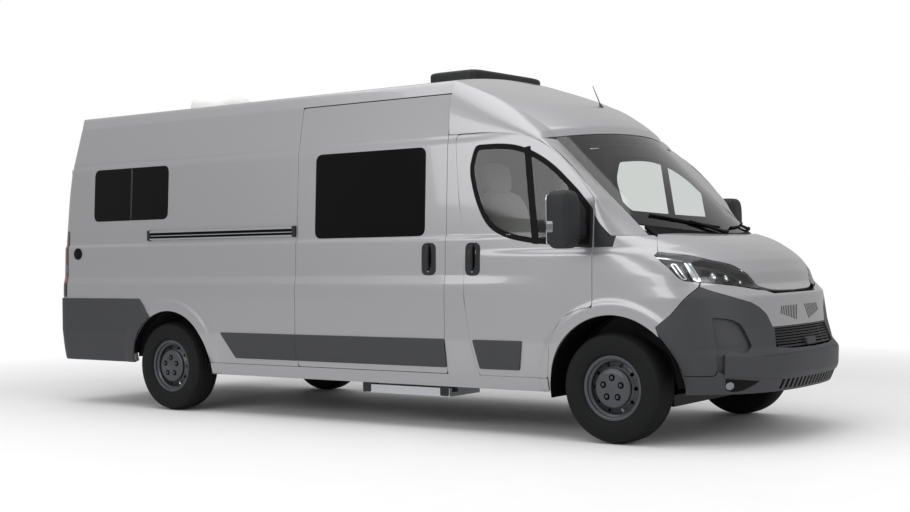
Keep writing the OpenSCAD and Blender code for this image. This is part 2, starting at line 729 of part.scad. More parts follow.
module front_subframe() {
    color("dimgray") union() {
        block([front_x - 160, -470, king_low - 25], [front_x + 160, 470, king_low + 50]);
        both_sides() {
            arm(king_low - 22);
            arm(king_high);
            block([front_x - 40, -470, king_low], [front_x + 40, -410, king_high + 22]);
            block([front_x - 90, -front_rail_y + seam, king_high - 60], [front_x + 90, -410, king_high + 22]);
        }
    }
}

module knuckle_right() {
    stub = track_front / 2 + 78;
    color("gray") union() {
        translate([front_x, -king_y, king_low - 25]) cylinder(r = king_r, h = king_high - king_low + 50);
        translate([front_x, -king_y, king_low + 1]) cylinder(r = 30, h = king_high - king_low - 2);
        translate([front_x, -king_y, tyre_r]) rotate([90, 0, 0]) cylinder(r = 55, h = 40);
        translate([front_x, -king_y, tyre_r]) rotate([90, 0, 0]) cylinder(r = hub_bore_r - pin_clear, h = stub - king_y);
        translate([front_x, -king_y - 32, tyre_r]) rotate([90, 0, 0]) cylinder(r = 140, h = 24);
    }
}

module knuckle_left() {
    mirror([0, 1, 0]) knuckle_right();
}

// Rear beam on leaf springs
spring_y = track_rear / 2 - 335;

module rear_axle() {
    stub = track_rear / 2 + 78;
    color("dimgray") union() {
        translate([rear_x, -690, tyre_r]) rotate([-90, 0, 0]) cylinder(r = 42, h = 1380);
        both_sides() {
            translate([rear_x, -stub, tyre_r]) rotate([-90, 0, 0]) cylinder(r = hub_bore_r - pin_clear, h = stub - 680);
            translate([rear_x, -track_rear / 2 + 70, tyre_r]) rotate([-90, 0, 0]) cylinder(r = 140, h = 40);
            along_y(-spring_y - 35, -spring_y + 35) polygon([for (p = [[-620, 430], [-300, 395], [0, 375], [300, 395], [620, 430], [620, 412],
                [300, 370], [0, 345], [-300, 370], [-620, 412]]) [rear_x + p[0], p[1]]]);
            for (s = [-1, 1]) block([rear_x + s * 600 - 30, -spring_y - 40, 405], [rear_x + s * 600 + 30, -spring_y + 40, floor_low - seam]);
        }
    }
}

// Longitudinal rails with cross members and the tow-bar plates
rail_y = 420;
rail_low = 400;
front_rail_y = track_front / 2 - 405;
tow_hole_r = 6.5;

module chassis_rails() {
    color("dimgray") difference() {
        union() {
            both_sides() {
                block([rear_end + 130, -rail_y - 35, rail_low], [front_x - 300, -rail_y + 35, floor_low - seam]);
                block([front_x - 340, -front_rail_y - 60, rail_low + 20], [front_x + 640, -front_rail_y, floor_low - seam]);
                block([front_x - 340, -front_rail_y - 60, rail_low + 20], [front_x - 300, -rail_y + 35, floor_low - seam]);
            }
            for (x = [rear_end + 140, rear_x + 300, front_x - 1250]) block([x, -rail_y, rail_low + 20], [x + 60, rail_y, floor_low - 20]);
        }
        both_sides() block([front_x - 75, -front_rail_y - 70, king_high - 10], [front_x + 75, -front_rail_y + 10, king_high + 32]);
        for (y = [-rail_y, rail_y], z = [rail_low + 27, rail_low + 77]) translate([rear_end + 120, y, z]) rotate([0, 90, 0]) cylinder(r = tow_hole_r, h = 60, $fn = 24);
    }
}

module tanks() {
    color("black") {
        block([front_x - 2250, 130, 290], [front_x - 1350, 370, floor_low - seam]);
        block([rear_x + 480, -370, 300], [rear_x + 1000, 370, floor_low - seam]);
    }
}

module exhaust() {
    color("dimgray") union() {
        translate([front_x - 60, -250, 330]) rotate([0, -90, 0]) cylinder(r = 28, h = 1300);
        translate([front_x - 1300, -250, 330]) rotate([0, -90, 0]) cylinder(r = 85, h = 500);
        translate([front_x - 1790, -250, 330]) rotate([0, -90, 0]) cylinder(r = 28, h = 1130);
        translate([front_x - 2900, -250, 330]) rotate([90, 0, 0]) cylinder(r = 28, h = 620);
        block([front_x - 1580, -270, 330], [front_x - 1520, -230, floor_low - seam]);
        block([front_x - 2920, -270, 330], [front_x - 2880, -230, floor_low - seam]);
    }
}

// Slide-out entry step under the sliding door
STEP = [-2033, -1290, 232, 290];

module entry_step() {
    color("silver") union() {
        block([front_x + STEP[0], -half_w + 62, STEP[2]], [front_x + STEP[1], -half_w + 90, STEP[3]]);
        block([front_x + STEP[0], -half_w + 80, STEP[2]], [front_x + STEP[1], -half_w + 420, STEP[2] + 28]);
        for (x = [STEP[0], STEP[1] - 40]) block([front_x + x, -half_w + 160, STEP[2]], [front_x + x + 40, -half_w + 420, floor_low - seam]);
    }
}

// Wheels: tyre profile as distance from the axle and across, rim with disc and holes
module tyre(x, y) {
    w = tyre_w / 2;
    profile = [[rim_r + 0.5, -0.7 * w], [rim_r + 12, -0.72 * w], [rim_r + 22, -0.88 * w], [rim_r + 70, -w], [tyre_r - 55, -0.97 * w], [tyre_r - 22, -0.88 * w],
        [tyre_r - 5, -0.74 * w], [tyre_r, -0.5 * w], [tyre_r, 0.5 * w], [tyre_r - 5, 0.74 * w], [tyre_r - 22, 0.88 * w], [tyre_r - 55, 0.97 * w],
        [rim_r + 70, w], [rim_r + 22, 0.88 * w], [rim_r + 12, 0.72 * w], [rim_r + 0.5, 0.7 * w]];
    color("black") translate([x, y, tyre_r]) rotate([90, 0, 0]) rotate_extrude($fn = 72) polygon(profile);
}

nut_pcd = 118;
VENTS = 10;

// Rim with its outer face towards -Y
module rim(x, y) {
    w = tyre_w / 2 * 0.74;
    color("gray") translate([x, y, tyre_r]) rotate([90, 0, 0]) difference() {
        rotate_extrude($fn = 72) polygon([[hub_bore_r, 62], [hub_bore_r, 78], [85, 78], [100, 60], [128, 60], [150, 44], [168, 36], [168, 60],
            [182, 70], [184, w], [rim_r + 10, w + 4], [rim_r + 10, w + 0.5], [rim_r, w - 0.5], [rim_r, -w + 0.5], [rim_r + 10, -w - 0.5],
            [rim_r + 10, -w - 4], [186, -w], [180, -w + 10], [176, 20], [166, 26], [146, 34], [124, 48], [96, 48], [80, 62]]);
        for (i = [0:VENTS - 1]) rotate(i * 360 / VENTS) translate([148, 0, 0]) cylinder(r = 13, h = 120, $fn = 24);
        for (i = [0:4]) rotate(i * 72 + 18) translate([nut_pcd / 2, 0, 0]) cylinder(r = 9, h = 120, $fn = 24);
    }
}

module tyre_front_right() { tyre(front_x, -track_front / 2); }
module tyre_front_left() { tyre(front_x, track_front / 2); }
module tyre_rear_right() { tyre(rear_x, -track_rear / 2); }
module tyre_rear_left() { tyre(rear_x, track_rear / 2); }
module rim_front_right() { rim(front_x, -track_front / 2); }
module rim_rear_right() { rim(rear_x, -track_rear / 2); }
module rim_front_left() { mirror([0, 1, 0]) rim(front_x, -track_front / 2); }
module rim_rear_left() { mirror([0, 1, 0]) rim(rear_x, -track_rear / 2); }

// Lamp columns on the rear corners
LAMP_Z = [890, 1450];

module lamp_block(grow) {
    block([rear_end - 10, -half_w - 20, LAMP_Z[0] - grow], [rear_end + 35 + rear_corner_r + 15 + grow, -rear_door_half - shut_gap - 20 + grow, LAMP_Z[1] + grow]);
}

module tail_lamps() {
    color("darkred") both_sides() intersection() {
        rear_shell();
        lamp_block(0);
    }
}

// Rear bumper with the side cladding that wraps the corners
clad = 12;

module rear_bumper() {
    color("dimgray") {
        difference() {
            intersection() {
                difference() {
                    rear_body(-clad);
                    rear_body(-seam);
                }
                along_y(-half_w - 50, half_w + 50) polygon([[rear_x - 330, cladding_top], [rear_x - 375, 760],
                    [rear_x - 385 - seam, 372], [rear_end - 50, 372], [rear_end - 50, cladding_top]]);
            }
            rear_arch();
            block([rear_end - 50, -rear_door_half - 40, 500], [rear_end + 300, rear_door_half + 40, 1000]);
        }
        difference() {
            block([rear_end, -rear_door_half, 425], [rear_end + 60, rear_door_half, 495]);
            rear_body(-seam);
        }
    }
}

// Rubbing strips, sliding-door handle, rail and hook-up cap
module strip_band() {
    along_y(-half_w - 50, half_w + 50) polygon([[rear_x + 610, strip_high], [rear_x + 756, strip_low], [front_x - 1000, strip_low], [front_x - 1000, strip_high]]);
}

module side_trim() {
    color("dimgray") {
        intersection() {
            difference() {
                rear_body(-10);
                rear_body(-seam);
            }
            strip_band();
            difference() {
                block([rear_x, -half_w - 50, 0], [b_pillar_x - shut_gap, half_w + 50, 1000]);
                block([slide_rear - shut_gap, -half_w - 50, 0], [slide_rear, -half_w + 200, 1000]);
            }
        }
        block([rear_x - 224, -skin(1390) - 18, 1366], [slide_rear - shut_gap, -skin(1366) - seam, 1414]);
        intersection() {
            difference() {
                rear_body(-14);
                rear_body(-seam);
            }
            union() {
                along_y(-half_w - 50, 0) rounded([front_x - 1473, 1068], [front_x - 1363, 1280], 40);
                translate([rear_x - 1097, 0, 1255]) rotate([90, 0, 0]) cylinder(r = 44, h = half_w + 50);
            }
        }
    }
}

// Seats on pedestals
seat_y = 480;

module seat_right() {
    color("lightgray") translate([front_x, -seat_y, 0]) union() {
        block([-1080, -220, floor_top + seam], [-640, 220, 800]);
        block([-1120, -250, 800], [-600, 250, 930]);
        along_y(-250, 250) polygon([[-1000, 925], [-1120, 925], [-1230, 1480], [-1140, 1490]]);
        along_y(-130, 130) polygon([[-1170, 1475], [-1225, 1475], [-1250, 1700], [-1180, 1690]]);
    }
}

module seat_left() {
    mirror([0, 1, 0]) seat_right();
}

module dashboard() {
    color("dimgray") union() {
        along_y(-800, 800) polygon(shifted([[-110.5, 900], [-110.5, 1255], [-150, 1258], [-330, 1230], [-400, 1160], [-360, 960], [-200, 880]]));
        translate(helm) rotate([0, 90 + helm_tilt, 0]) cylinder(r = 11, h = 320, $fn = 24);
        translate(helm) rotate([0, 90 + helm_tilt, 0]) translate([0, 0, 20]) cylinder(r = 40, h = 300, $fn = 32);
    }
}

// Steering wheel on its column
helm = [front_x - 520, 480, 1190];
helm_tilt = 25;

module steering_wheel() {
    color("black") translate(helm) rotate([0, -90 + helm_tilt, 0]) difference() {
        union() {
            rotate_extrude($fn = 48) translate([185, 0]) circle(14, $fn = 12);
            cylinder(r = 60, h = 30, center = true);
            for (a = [0, 120, 240]) rotate(a + 60) translate([0, -12, -6]) cube([180, 24, 12]);
        }
        translate([0, 0, -16]) cylinder(r = 11 + pin_clear, h = 24, $fn = 24);
    }
}

// Roof units: hood over the front roof light with the aerial, and a teardrop vent
HOOD = [-1823, -1403, 467];

module roof_hood() {
    z = roof_height;
    color("dimgray") {
        difference() {
            hull() {
                block([front_x + HOOD[0], -HOOD[2], z - 60], [front_x + HOOD[1], HOOD[2], z - 10]);
                block([front_x + HOOD[0] + 60, -HOOD[2] + 40, z], [front_x + HOOD[1] - 190, HOOD[2] - 40, z + 36]);
            }
            rear_body(-seam);
        }
    }
}

VENT = [-600, -170, 250];

module roof_vent() {
    z = roof_height;
    color("white") difference() {
        intersection() {
            along_y(-VENT[2], VENT[2]) polygon([for (p = [[VENT[0], z - 30], [VENT[0] + 15, z + 30], [VENT[0] + 60, z + 85], [VENT[0] + 150, z + 100],
                [VENT[0] + 270, z + 75], [VENT[1] - 40, z + 20], [VENT[1], z - 30]]) [rear_x + p[0], p[1]]]);
            along_x(rear_x + VENT[0], rear_x + VENT[1]) polygon([[-VENT[2], z - 40], [-VENT[2] + 10, z + 50], [-VENT[2] + 70, z + 110], [VENT[2] - 70, z + 110],
                [VENT[2] - 10, z + 50], [VENT[2], z - 40]]);
        }
        rear_body(-seam);
    }
}

floor();
wheel_boxes();
firewall();
body_frame();
side_panel_right();
side_panel_left();
roof();
cab_roof();
a_pillars();
windscreen();
cowl();
bonnet();
wings();
headlamps();
front_bumper();
grille_panel();
engine();
front_subframe();
knuckle_left();
knuckle_right();
rear_axle();
chassis_rails();
tanks();
exhaust();
entry_step();
tyre_front_left();
tyre_front_right();
tyre_rear_left();
tyre_rear_right();
rim_front_left();
rim_front_right();
rim_rear_left();
rim_rear_right();
cab_door_left();
cab_door_right();
cab_glass_left();
cab_glass_right();
cab_trim_left();
cab_trim_right();
sliding_door();
rear_door_left();
rear_door_right();
rear_glass_left();
rear_glass_right();
tail_lamps();
rear_bumper();
side_trim();
side_windows();
seat_left();
seat_right();
dashboard();
steering_wheel();
roof_hood();
roof_vent();
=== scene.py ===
"""Looks of the panel-van camper: smooth body panels, glass, lamps, wheels and cabin round the CAD frame.

Lengths are millimetres in this script and metres in the scene. +X is forward, +Y left, +Z up.
"""
import json
import math
import bpy
import numpy as np
from mathutils import Matrix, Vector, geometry

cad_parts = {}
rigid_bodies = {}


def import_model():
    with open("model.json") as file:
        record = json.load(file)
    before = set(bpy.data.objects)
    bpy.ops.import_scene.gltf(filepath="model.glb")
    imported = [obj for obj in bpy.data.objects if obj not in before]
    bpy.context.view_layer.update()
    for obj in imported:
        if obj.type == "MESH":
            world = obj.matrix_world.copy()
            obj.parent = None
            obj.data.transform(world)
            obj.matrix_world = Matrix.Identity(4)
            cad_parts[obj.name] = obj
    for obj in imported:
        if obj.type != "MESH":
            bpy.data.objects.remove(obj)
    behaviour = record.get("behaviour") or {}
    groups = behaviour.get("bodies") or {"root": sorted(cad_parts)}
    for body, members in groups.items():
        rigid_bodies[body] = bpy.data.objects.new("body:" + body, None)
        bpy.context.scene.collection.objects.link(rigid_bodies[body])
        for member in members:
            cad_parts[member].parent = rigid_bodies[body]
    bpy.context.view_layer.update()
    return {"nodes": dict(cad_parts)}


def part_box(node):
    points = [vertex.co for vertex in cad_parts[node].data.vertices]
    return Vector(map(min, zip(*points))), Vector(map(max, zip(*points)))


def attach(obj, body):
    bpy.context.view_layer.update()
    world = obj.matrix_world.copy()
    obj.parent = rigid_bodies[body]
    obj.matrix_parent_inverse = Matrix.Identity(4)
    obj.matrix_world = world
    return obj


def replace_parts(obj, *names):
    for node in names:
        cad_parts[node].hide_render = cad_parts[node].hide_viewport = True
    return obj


for leftover in list(bpy.data.objects):
    bpy.data.objects.remove(leftover)
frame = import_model()
MM = 0.001


# ---- Places taken from the frame

def centre(node):
    """Middle of a CAD node's box, in millimetres."""
    low, high = (np.array(c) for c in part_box(node))
    return (low + high) / 2 / MM


def edge(node, axis, side):
    """Lowest (side 0) or highest (side 1) coordinate of a CAD node along an axis, in millimetres."""
    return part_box(node)[side][axis] / MM


FRONT_X = centre("tyre_front_right")[0]
REAR_X = centre("tyre_rear_right")[0]
HALF_W = 1025.0
ROOF_Z = 2500.0
REAR_END = edge("rear_bumper", 0, 0)
B_POST = FRONT_X - 1276
SLIDE_REAR = B_POST - 1376
GUTTER = ROOF_Z - 190
ARCH_Z = centre("tyre_front_right")[2]
GAP = 4.0
# Wheel arches: middle along x, radius, and width of the pressed ring round them
REAR_ARCH_X, REAR_ARCH_R = REAR_X + 25, 440
FRONT_ARCH_X, FRONT_ARCH_R = FRONT_X + 8, 460
FLARE = 84
# How far the edges of the panels turn in
WALL_DEPTH, DOOR_DEPTH = 38, 34
# Heights of the sills, doors, rub strips and rear cladding
SILL_LOW, SILL_TOP, DOOR_LOW = 304, 389, 396
STRIP_LOW, STRIP_TOP = 442, 628
CLAD_LOW, CLAD_TOP = 374.0, 880
# Radius of the rear corner, and front edge of the tail lamps along x
CORNER = 110.0
LAMP_FRONT = REAR_END + 35 + CORNER + 15


# ---- Colours and materials

def linear(hex_colour):
    """Linear RGBA of an sRGB hex colour."""
    c = np.array([int(hex_colour[i:i + 2], 16) for i in (1, 3, 5)]) / 255
    c = np.where(c <= 0.04045, c / 12.92, ((c + 0.055) / 1.055) ** 2.4)
    return (*c.tolist(), 1.0)


def add(tree, kind, links=(), **values):
    """Adds a node, sets its inputs or properties by name, and links (input, socket) pairs."""
    n = tree.nodes.new(kind)
    for key, value in values.items():
        name = key.replace("_", " ")
        if name in n.inputs:
            n.inputs[name].default_value = value
        else:
            setattr(n, key, value)
    for name, socket in links:
        tree.links.new(socket, n.inputs[name])
    return n


def material(name, colour, rough, metal=0.0, coat=0.0, grain=None, bump=0.0, mottle=0.06, spec=0.5, sheen=0.0):
    """Principled material whose colour, roughness and relief vary with noise of a grain size in millimetres."""
    m = bpy.data.materials.new(name)
    m.use_nodes = True
    t = m.node_tree
    shader = t.nodes["Principled BSDF"]
    shader.inputs["Metallic"].default_value = metal
    shader.inputs["Coat Weight"].default_value = coat
    shader.inputs["Coat Roughness"].default_value = 0.04
    shader.inputs["Specular IOR Level"].default_value = spec
    shader.inputs["Sheen Weight"].default_value = sheen
    shader.inputs["Base Color"].default_value = linear(colour)
    shader.inputs["Roughness"].default_value = rough
    m.diffuse_color = linear(colour)
    if grain:
        place = add(t, "ShaderNodeTexCoord")
        noise = add(t, "ShaderNodeTexNoise", [("Vector", place.outputs["Object"])], Scale=1000 / grain, Detail=4.0,
                    Roughness=0.6)
        ramp = add(t, "ShaderNodeMapRange", [("Value", noise.outputs["Fac"])], From_Min=0.3, From_Max=0.7,
                   To_Min=1 - mottle, To_Max=1 + mottle)
        tint = add(t, "ShaderNodeVectorMath", [("Scale", ramp.outputs["Result"])], operation="SCALE")
        tint.inputs[0].default_value = linear(colour)[:3]
        t.links.new(tint.outputs["Vector"], shader.inputs["Base Color"])
        if bump:
            relief = add(t, "ShaderNodeBump", [("Height", noise.outputs["Fac"])], Strength=bump, Distance=0.0006)
            t.links.new(relief.outputs["Normal"], shader.inputs["Normal"])
    return m


def clear_glass(name, tint, shine=0.05):
    """Thin see-through sheet: tinted Transparent mixed with a mirror by Fresnel."""
    m = bpy.data.materials.new(name)
    m.use_nodes = True
    t = m.node_tree
    t.nodes.remove(t.nodes["Principled BSDF"])
    see = add(t, "ShaderNodeBsdfTransparent", Color=linear(tint))
    gloss = add(t, "ShaderNodeBsdfGlossy", Color=linear("#ffffff"), Roughness=shine)
    fresnel = add(t, "ShaderNodeFresnel", IOR=1.5)
    mix = add(t, "ShaderNodeMixShader", [("Fac", fresnel.outputs["Fac"])])
    t.links.new(see.outputs["BSDF"], mix.inputs[1])
    t.links.new(gloss.outputs["BSDF"], mix.inputs[2])
    t.links.new(mix.outputs["Shader"], t.nodes["Material Output"].inputs["Surface"])
    return m


# Metallic enamel under clear lacquer: soft silver sheen, sharp top gloss; flake drawn coarser than the real one
PAINT = material("silver_paint", "#98989a", 0.34, metal=0.5, coat=0.8, grain=0.8, mottle=0.05)
# Moulded polypropylene: dull dark grey whose pebble grain spreads the light
PLASTIC = material("moulded_plastic", "#2b2c2f", 0.55, grain=2.2, bump=0.25, mottle=0.08)
# Gloss black ABS: near-black, mirror-like trim
PIANO = material("gloss_black_trim", "#08080a", 0.12, coat=0.5, grain=30, mottle=0.05)
# Toughened privacy glass: a black sheet with a faint reflection
BLACK_GLASS = material("privacy_glass", "#040405", 0.05, grain=200, mottle=0.2, spec=0.14)
# Seal rubber: matt black with almost no highlight
RUBBER = material("seal_rubber", "#070708", 0.6, grain=3, spec=0.12)
# Tyre rubber: matt black with a fine moulded skin, drawn coarser than it is
TYRE = material("tyre_rubber", "#0d0e0f", 0.75, grain=4, bump=0.35, mottle=0.12, spec=0.22)
# Pressed wheel steel under grey paint: half gloss
STEEL = material("painted_wheel_steel", "#424347", 0.42, metal=0.5, coat=0.2, grain=6, mottle=0.08)
# Wax over underbody steel: dull and uneven
CHASSIS = material("underbody_wax", "#141416", 0.6, grain=12, bump=0.4, mottle=0.2)
# Machined steel: grey metal with soft highlights
BARE = material("bare_steel", "#8a8b8e", 0.35, metal=0.9, grain=3, mottle=0.1)
# Extruded aluminium: pale metal with soft highlights
ALU = material("brushed_aluminium", "#b4b6b9", 0.3, metal=0.95, grain=5, mottle=0.06)
# Metal-plated reflector: a bright mirror
CHROME = material("lamp_chrome", "#d9dbde", 0.08, metal=1.0, grain=40, mottle=0.03)
# Moulded white ABS: even half gloss
WHITE = material("white_plastic", "#e4e4e2", 0.35, grain=3, mottle=0.03)
# Woven seat cloth: matt, pale at grazing light; weave drawn coarser than the thread
FABRIC = material("seat_cloth", "#b9b8b5", 0.85, grain=1.6, bump=0.5, mottle=0.1, sheen=0.3)
# Felted wall lining: matt grey nap, drawn coarser than the fibre
LINING = material("cabin_lining", "#8c8b89", 0.7, grain=1.5, bump=0.3, mottle=0.08)
# Soft moulded dashboard skin: matt with a leathery grain
DASH = material("dash_plastic", "#2a2a2c", 0.6, grain=1.2, bump=0.4, mottle=0.1)
# Smoked acrylic: a dark, glossy lens
SMOKE = material("smoked_lens", "#151313", 0.08, coat=1.0, grain=9, mottle=0.25)
# Moulded nylon: dark and half matt, with a fine grain
HOUSING = material("mirror_housing", "#1a1b1d", 0.5, grain=1.6, bump=0.25, mottle=0.08, spec=0.3)
# Red acrylic: deep colour under a glossy face
RED = material("lamp_red", "#560507", 0.08, coat=1.0, grain=9, mottle=0.25)
# Amber acrylic: deep colour under a glossy face
AMBER = material("lamp_amber", "#6e3413", 0.1, coat=1.0, grain=9, mottle=0.2)
# Clear polycarbonate: see-through, bright where it turns away
LENS = clear_glass("lamp_lens", "#f4f6f8")
# Toughened door glass: see-through with a faint tint
CLEAR = clear_glass("door_glass", "#e2e5e4")
# Laminated windscreen glass: see-through with a fainter tint
SCREEN = clear_glass("windscreen_glass", "#e9ecea")
# Painted shade: a near-black, matt sheet put in joints, slots and openings where only shade shows; takes in nearly all
# light
VOID = material("shadow_gap", "#050506", 0.9, grain=8, mottle=0.3, spec=0.1)
# Lamp glass close over its reflector: grey and shiny
FOG = material("fog_lens", "#77797c", 0.12, metal=0.6, coat=0.5, grain=6, mottle=0.15)


# ---- Smooth surfaces

def soft(table, width):
    """A table of (place, value) rows as a function, its corners rounded over a width."""
    place, value = np.array(table, float).T
    fine = np.arange(place[0] - 3 * width, place[-1] + 3 * width + 1, 1.0)
    ends = np.gradient(value, place)[[0, -1]]
    raw = np.interp(fine, place, value)
    raw += np.minimum(fine - place[0], 0) * ends[0] + np.maximum(fine - place[-1], 0) * ends[1]
    kernel = np.hanning(2 * width + 3)
    smooth = np.convolve(np.pad(raw, width + 1, mode="edge"), kernel / kernel.sum(), "valid")
    return lambda x: np.interp(x, fine, smooth)


class Skin:
    """A surface kept as a dense table of points over two parameters; points and normals are read between cells."""

    def __init__(self, us, vs, shape):
        """us, vs are even parameter steps; shape(U, V) gives x, y, z arrays in millimetres."""
        self.us, self.vs = us, vs
        self.table = np.stack(np.broadcast_arrays(*shape(*np.meshgrid(us, vs))), -1)
        du, dv = np.gradient(self.table, axis=1), np.gradient(self.table, axis=0)
        n = np.cross(du, dv)
        self.normals = n / np.maximum(np.linalg.norm(n, axis=-1, keepdims=True), 1e-9)

    def read(self, table, uv):
        """Bilinear reading of a table at uv."""
        f = (uv - [self.us[0], self.vs[0]]) / [self.us[1] - self.us[0], self.vs[1] - self.vs[0]]
        f = np.clip(f, 0, np.array([len(self.us), len(self.vs)]) - 1.001)
        i, w = f.astype(int), (f % 1)[..., None]
        a, b = i[..., 1], i[..., 0]
        wu, wv = w[..., 0, :], w[..., 1, :]
        low = table[a, b] * (1 - wu) + table[a, b + 1] * wu
        high = table[a + 1, b] * (1 - wu) + table[a + 1, b + 1] * wu
        return low * (1 - wv) + high * wv

    def at(self, uv):
        """Points and unit normals at uv."""
        p, n = self.read(self.table, uv), self.read(self.normals, uv)
        return p, n / np.linalg.norm(n, axis=-1, keepdims=True)

    def find(self, places, axes, right=False):
        """Parameters of the points that have these two coordinates: nearest table point, then Newton steps."""
        places = np.asarray(places, float)
        us = self.us[:len(self.us) // 2 if right else None:3]
        flat = self.table[::3, :len(self.us) // 2 if right else None:3][..., axes].reshape(-1, 2)
        near = np.array([((flat - p) ** 2).sum(1).argmin() for p in places])
        uv = np.stack([us[near % len(us)], self.vs[::3][near // len(us)]], -1)
        for _ in range(12):
            p = self.read(self.table, uv)[..., axes]
            ju = (self.read(self.table, uv + [1, 0])[..., axes] - self.read(self.table, uv - [1, 0])[..., axes]) / 2
            jv = (self.read(self.table, uv + [0, 1])[..., axes] - self.read(self.table, uv - [0, 1])[..., axes]) / 2
            jac = np.stack([ju, jv], -1) + np.eye(2) * 1e-6
            step = np.linalg.solve(jac, (places - p)[..., None])[..., 0]
            uv = np.clip(uv + np.clip(step, -60, 60), [self.us[0], self.vs[0]], [self.us[-1], self.vs[-1]])
        return uv


def off_skin(skin, distance):
    """A surface moved along its normals."""
    return Skin(skin.us, skin.vs, lambda u, v: np.moveaxis(skin.table + skin.normals * distance, -1, 0))


def inside(points, loop):
    """Even-odd test of points against a closed loop."""
    a, b = loop, np.roll(loop, -1, 0)
    y = points[:, 1:2]
    cross = (a[:, 1] > y) != (b[:, 1] > y)
    x = (b[:, 0] - a[:, 0]) * (y - a[:, 1]) / np.where(b[:, 1] == a[:, 1], 1, b[:, 1] - a[:, 1]) + a[:, 0]
    return (cross & (points[:, 0:1] < x)).sum(1) % 2 == 1


def away(points, loop, distance):
    """True where points lie farther than a distance from a closed loop's segments."""
    a, d = loop, np.roll(loop, -1, 0) - loop
    t = np.clip(((points[:, None] - a) * d).sum(-1) / np.maximum((d * d).sum(-1), 1e-9), 0, 1)
    return (((points[:, None] - a - t[..., None] * d) ** 2).sum(-1)).min(1) > distance ** 2


def divided(loop, step):
    """A closed loop with points added so that no segment is longer than a step."""
    loop = np.asarray(loop, float)
    d = np.roll(loop, -1, 0) - loop
    n = np.maximum(1, np.ceil(np.linalg.norm(d, axis=1) / step)).astype(int)
    t = np.concatenate([np.arange(k) / k for k in n])
    i = np.repeat(np.arange(len(loop)), n)
    return loop[i] + d[i] * t[:, None]


def rounded(loop, radius, steps=5):
    """A closed polygon with its corners turned into arcs (quadratic curves) of about a radius."""
    p = np.asarray(loop, float)
    r = np.broadcast_to(np.asarray(radius, float), (len(p),))[:, None]
    a, b = np.roll(p, 1, 0) - p, np.roll(p, -1, 0) - p
    la, lb = np.linalg.norm(a, axis=1, keepdims=True), np.linalg.norm(b, axis=1, keepdims=True)
    s, e = p + a / la * np.minimum(r, la * 0.45), p + b / lb * np.minimum(r, lb * 0.45)
    t = np.linspace(0, 1, steps)[None, :, None]
    return (s[:, None] * (1 - t) ** 2 + 2 * p[:, None] * t * (1 - t) + e[:, None] * t ** 2).reshape(-1, 2)


def spline(points, step=12.0):
    """Catmull-Rom curve through open points, as closely spaced points."""
    p = np.asarray(points, float)
    q = np.concatenate([2 * p[:1] - p[1:2], p, 2 * p[-1:] - p[-2:-1]])
    out = []
    for i in range(len(p) - 1):
        a, b, c, d = q[i:i + 4]
        n = max(2, int(np.linalg.norm(c - b) / step))
        t = (np.arange(n) / n)[:, None]
        square, cube = 2 * a - 5 * b + 4 * c - d, 3 * b - a - 3 * c + d
        out.append(0.5 * (2 * b + (c - a) * t + square * t ** 2 + cube * t ** 3))
    return np.concatenate([*out, p[-1:]])


def shrunk(loop, amount):
    """A closed loop moved inwards by an amount along its corner bisectors."""
    p = np.asarray(loop, float)
    area = (p[:, 0] * np.roll(p[:, 1], -1) - p[:, 1] * np.roll(p[:, 0], -1)).sum()
    d = np.roll(p, -1, 0) - p
    n = np.stack([-d[:, 1], d[:, 0]], 1) / np.maximum(np.linalg.norm(d, axis=1, keepdims=True), 1e-9) * np.sign(area)
    m = n + np.roll(n, 1, 0)
    m /= np.maximum((m * m).sum(1, keepdims=True) / 2, 0.5)
    return p + m * amount


# ---- Meshes

def piece(name, verts, faces, mats, body, normals=None, slots=None, smooth=True):
    """Makes a mesh piece from millimetre points, its materials and the body it rides on."""
    mesh = bpy.data.meshes.new(name)
    mesh.from_pydata((np.asarray(verts) * MM).tolist(), [],
                     [list(f) for f in faces] if not isinstance(faces, np.ndarray) else faces.tolist())
    for m in mats if isinstance(mats, (list, tuple)) else [mats]:
        mesh.materials.append(m)
    if slots is not None:
        mesh.polygons.foreach_set("material_index", np.asarray(slots, np.int32))
    mesh.polygons.foreach_set("use_smooth", np.full(len(mesh.polygons), smooth))
    if normals is not None:
        mesh.normals_split_custom_set_from_vertices(np.asarray(normals).tolist())
    mesh.update()
    obj = bpy.data.objects.new(name, mesh)
    bpy.context.scene.collection.objects.link(obj)
    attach(obj, body)
    return obj


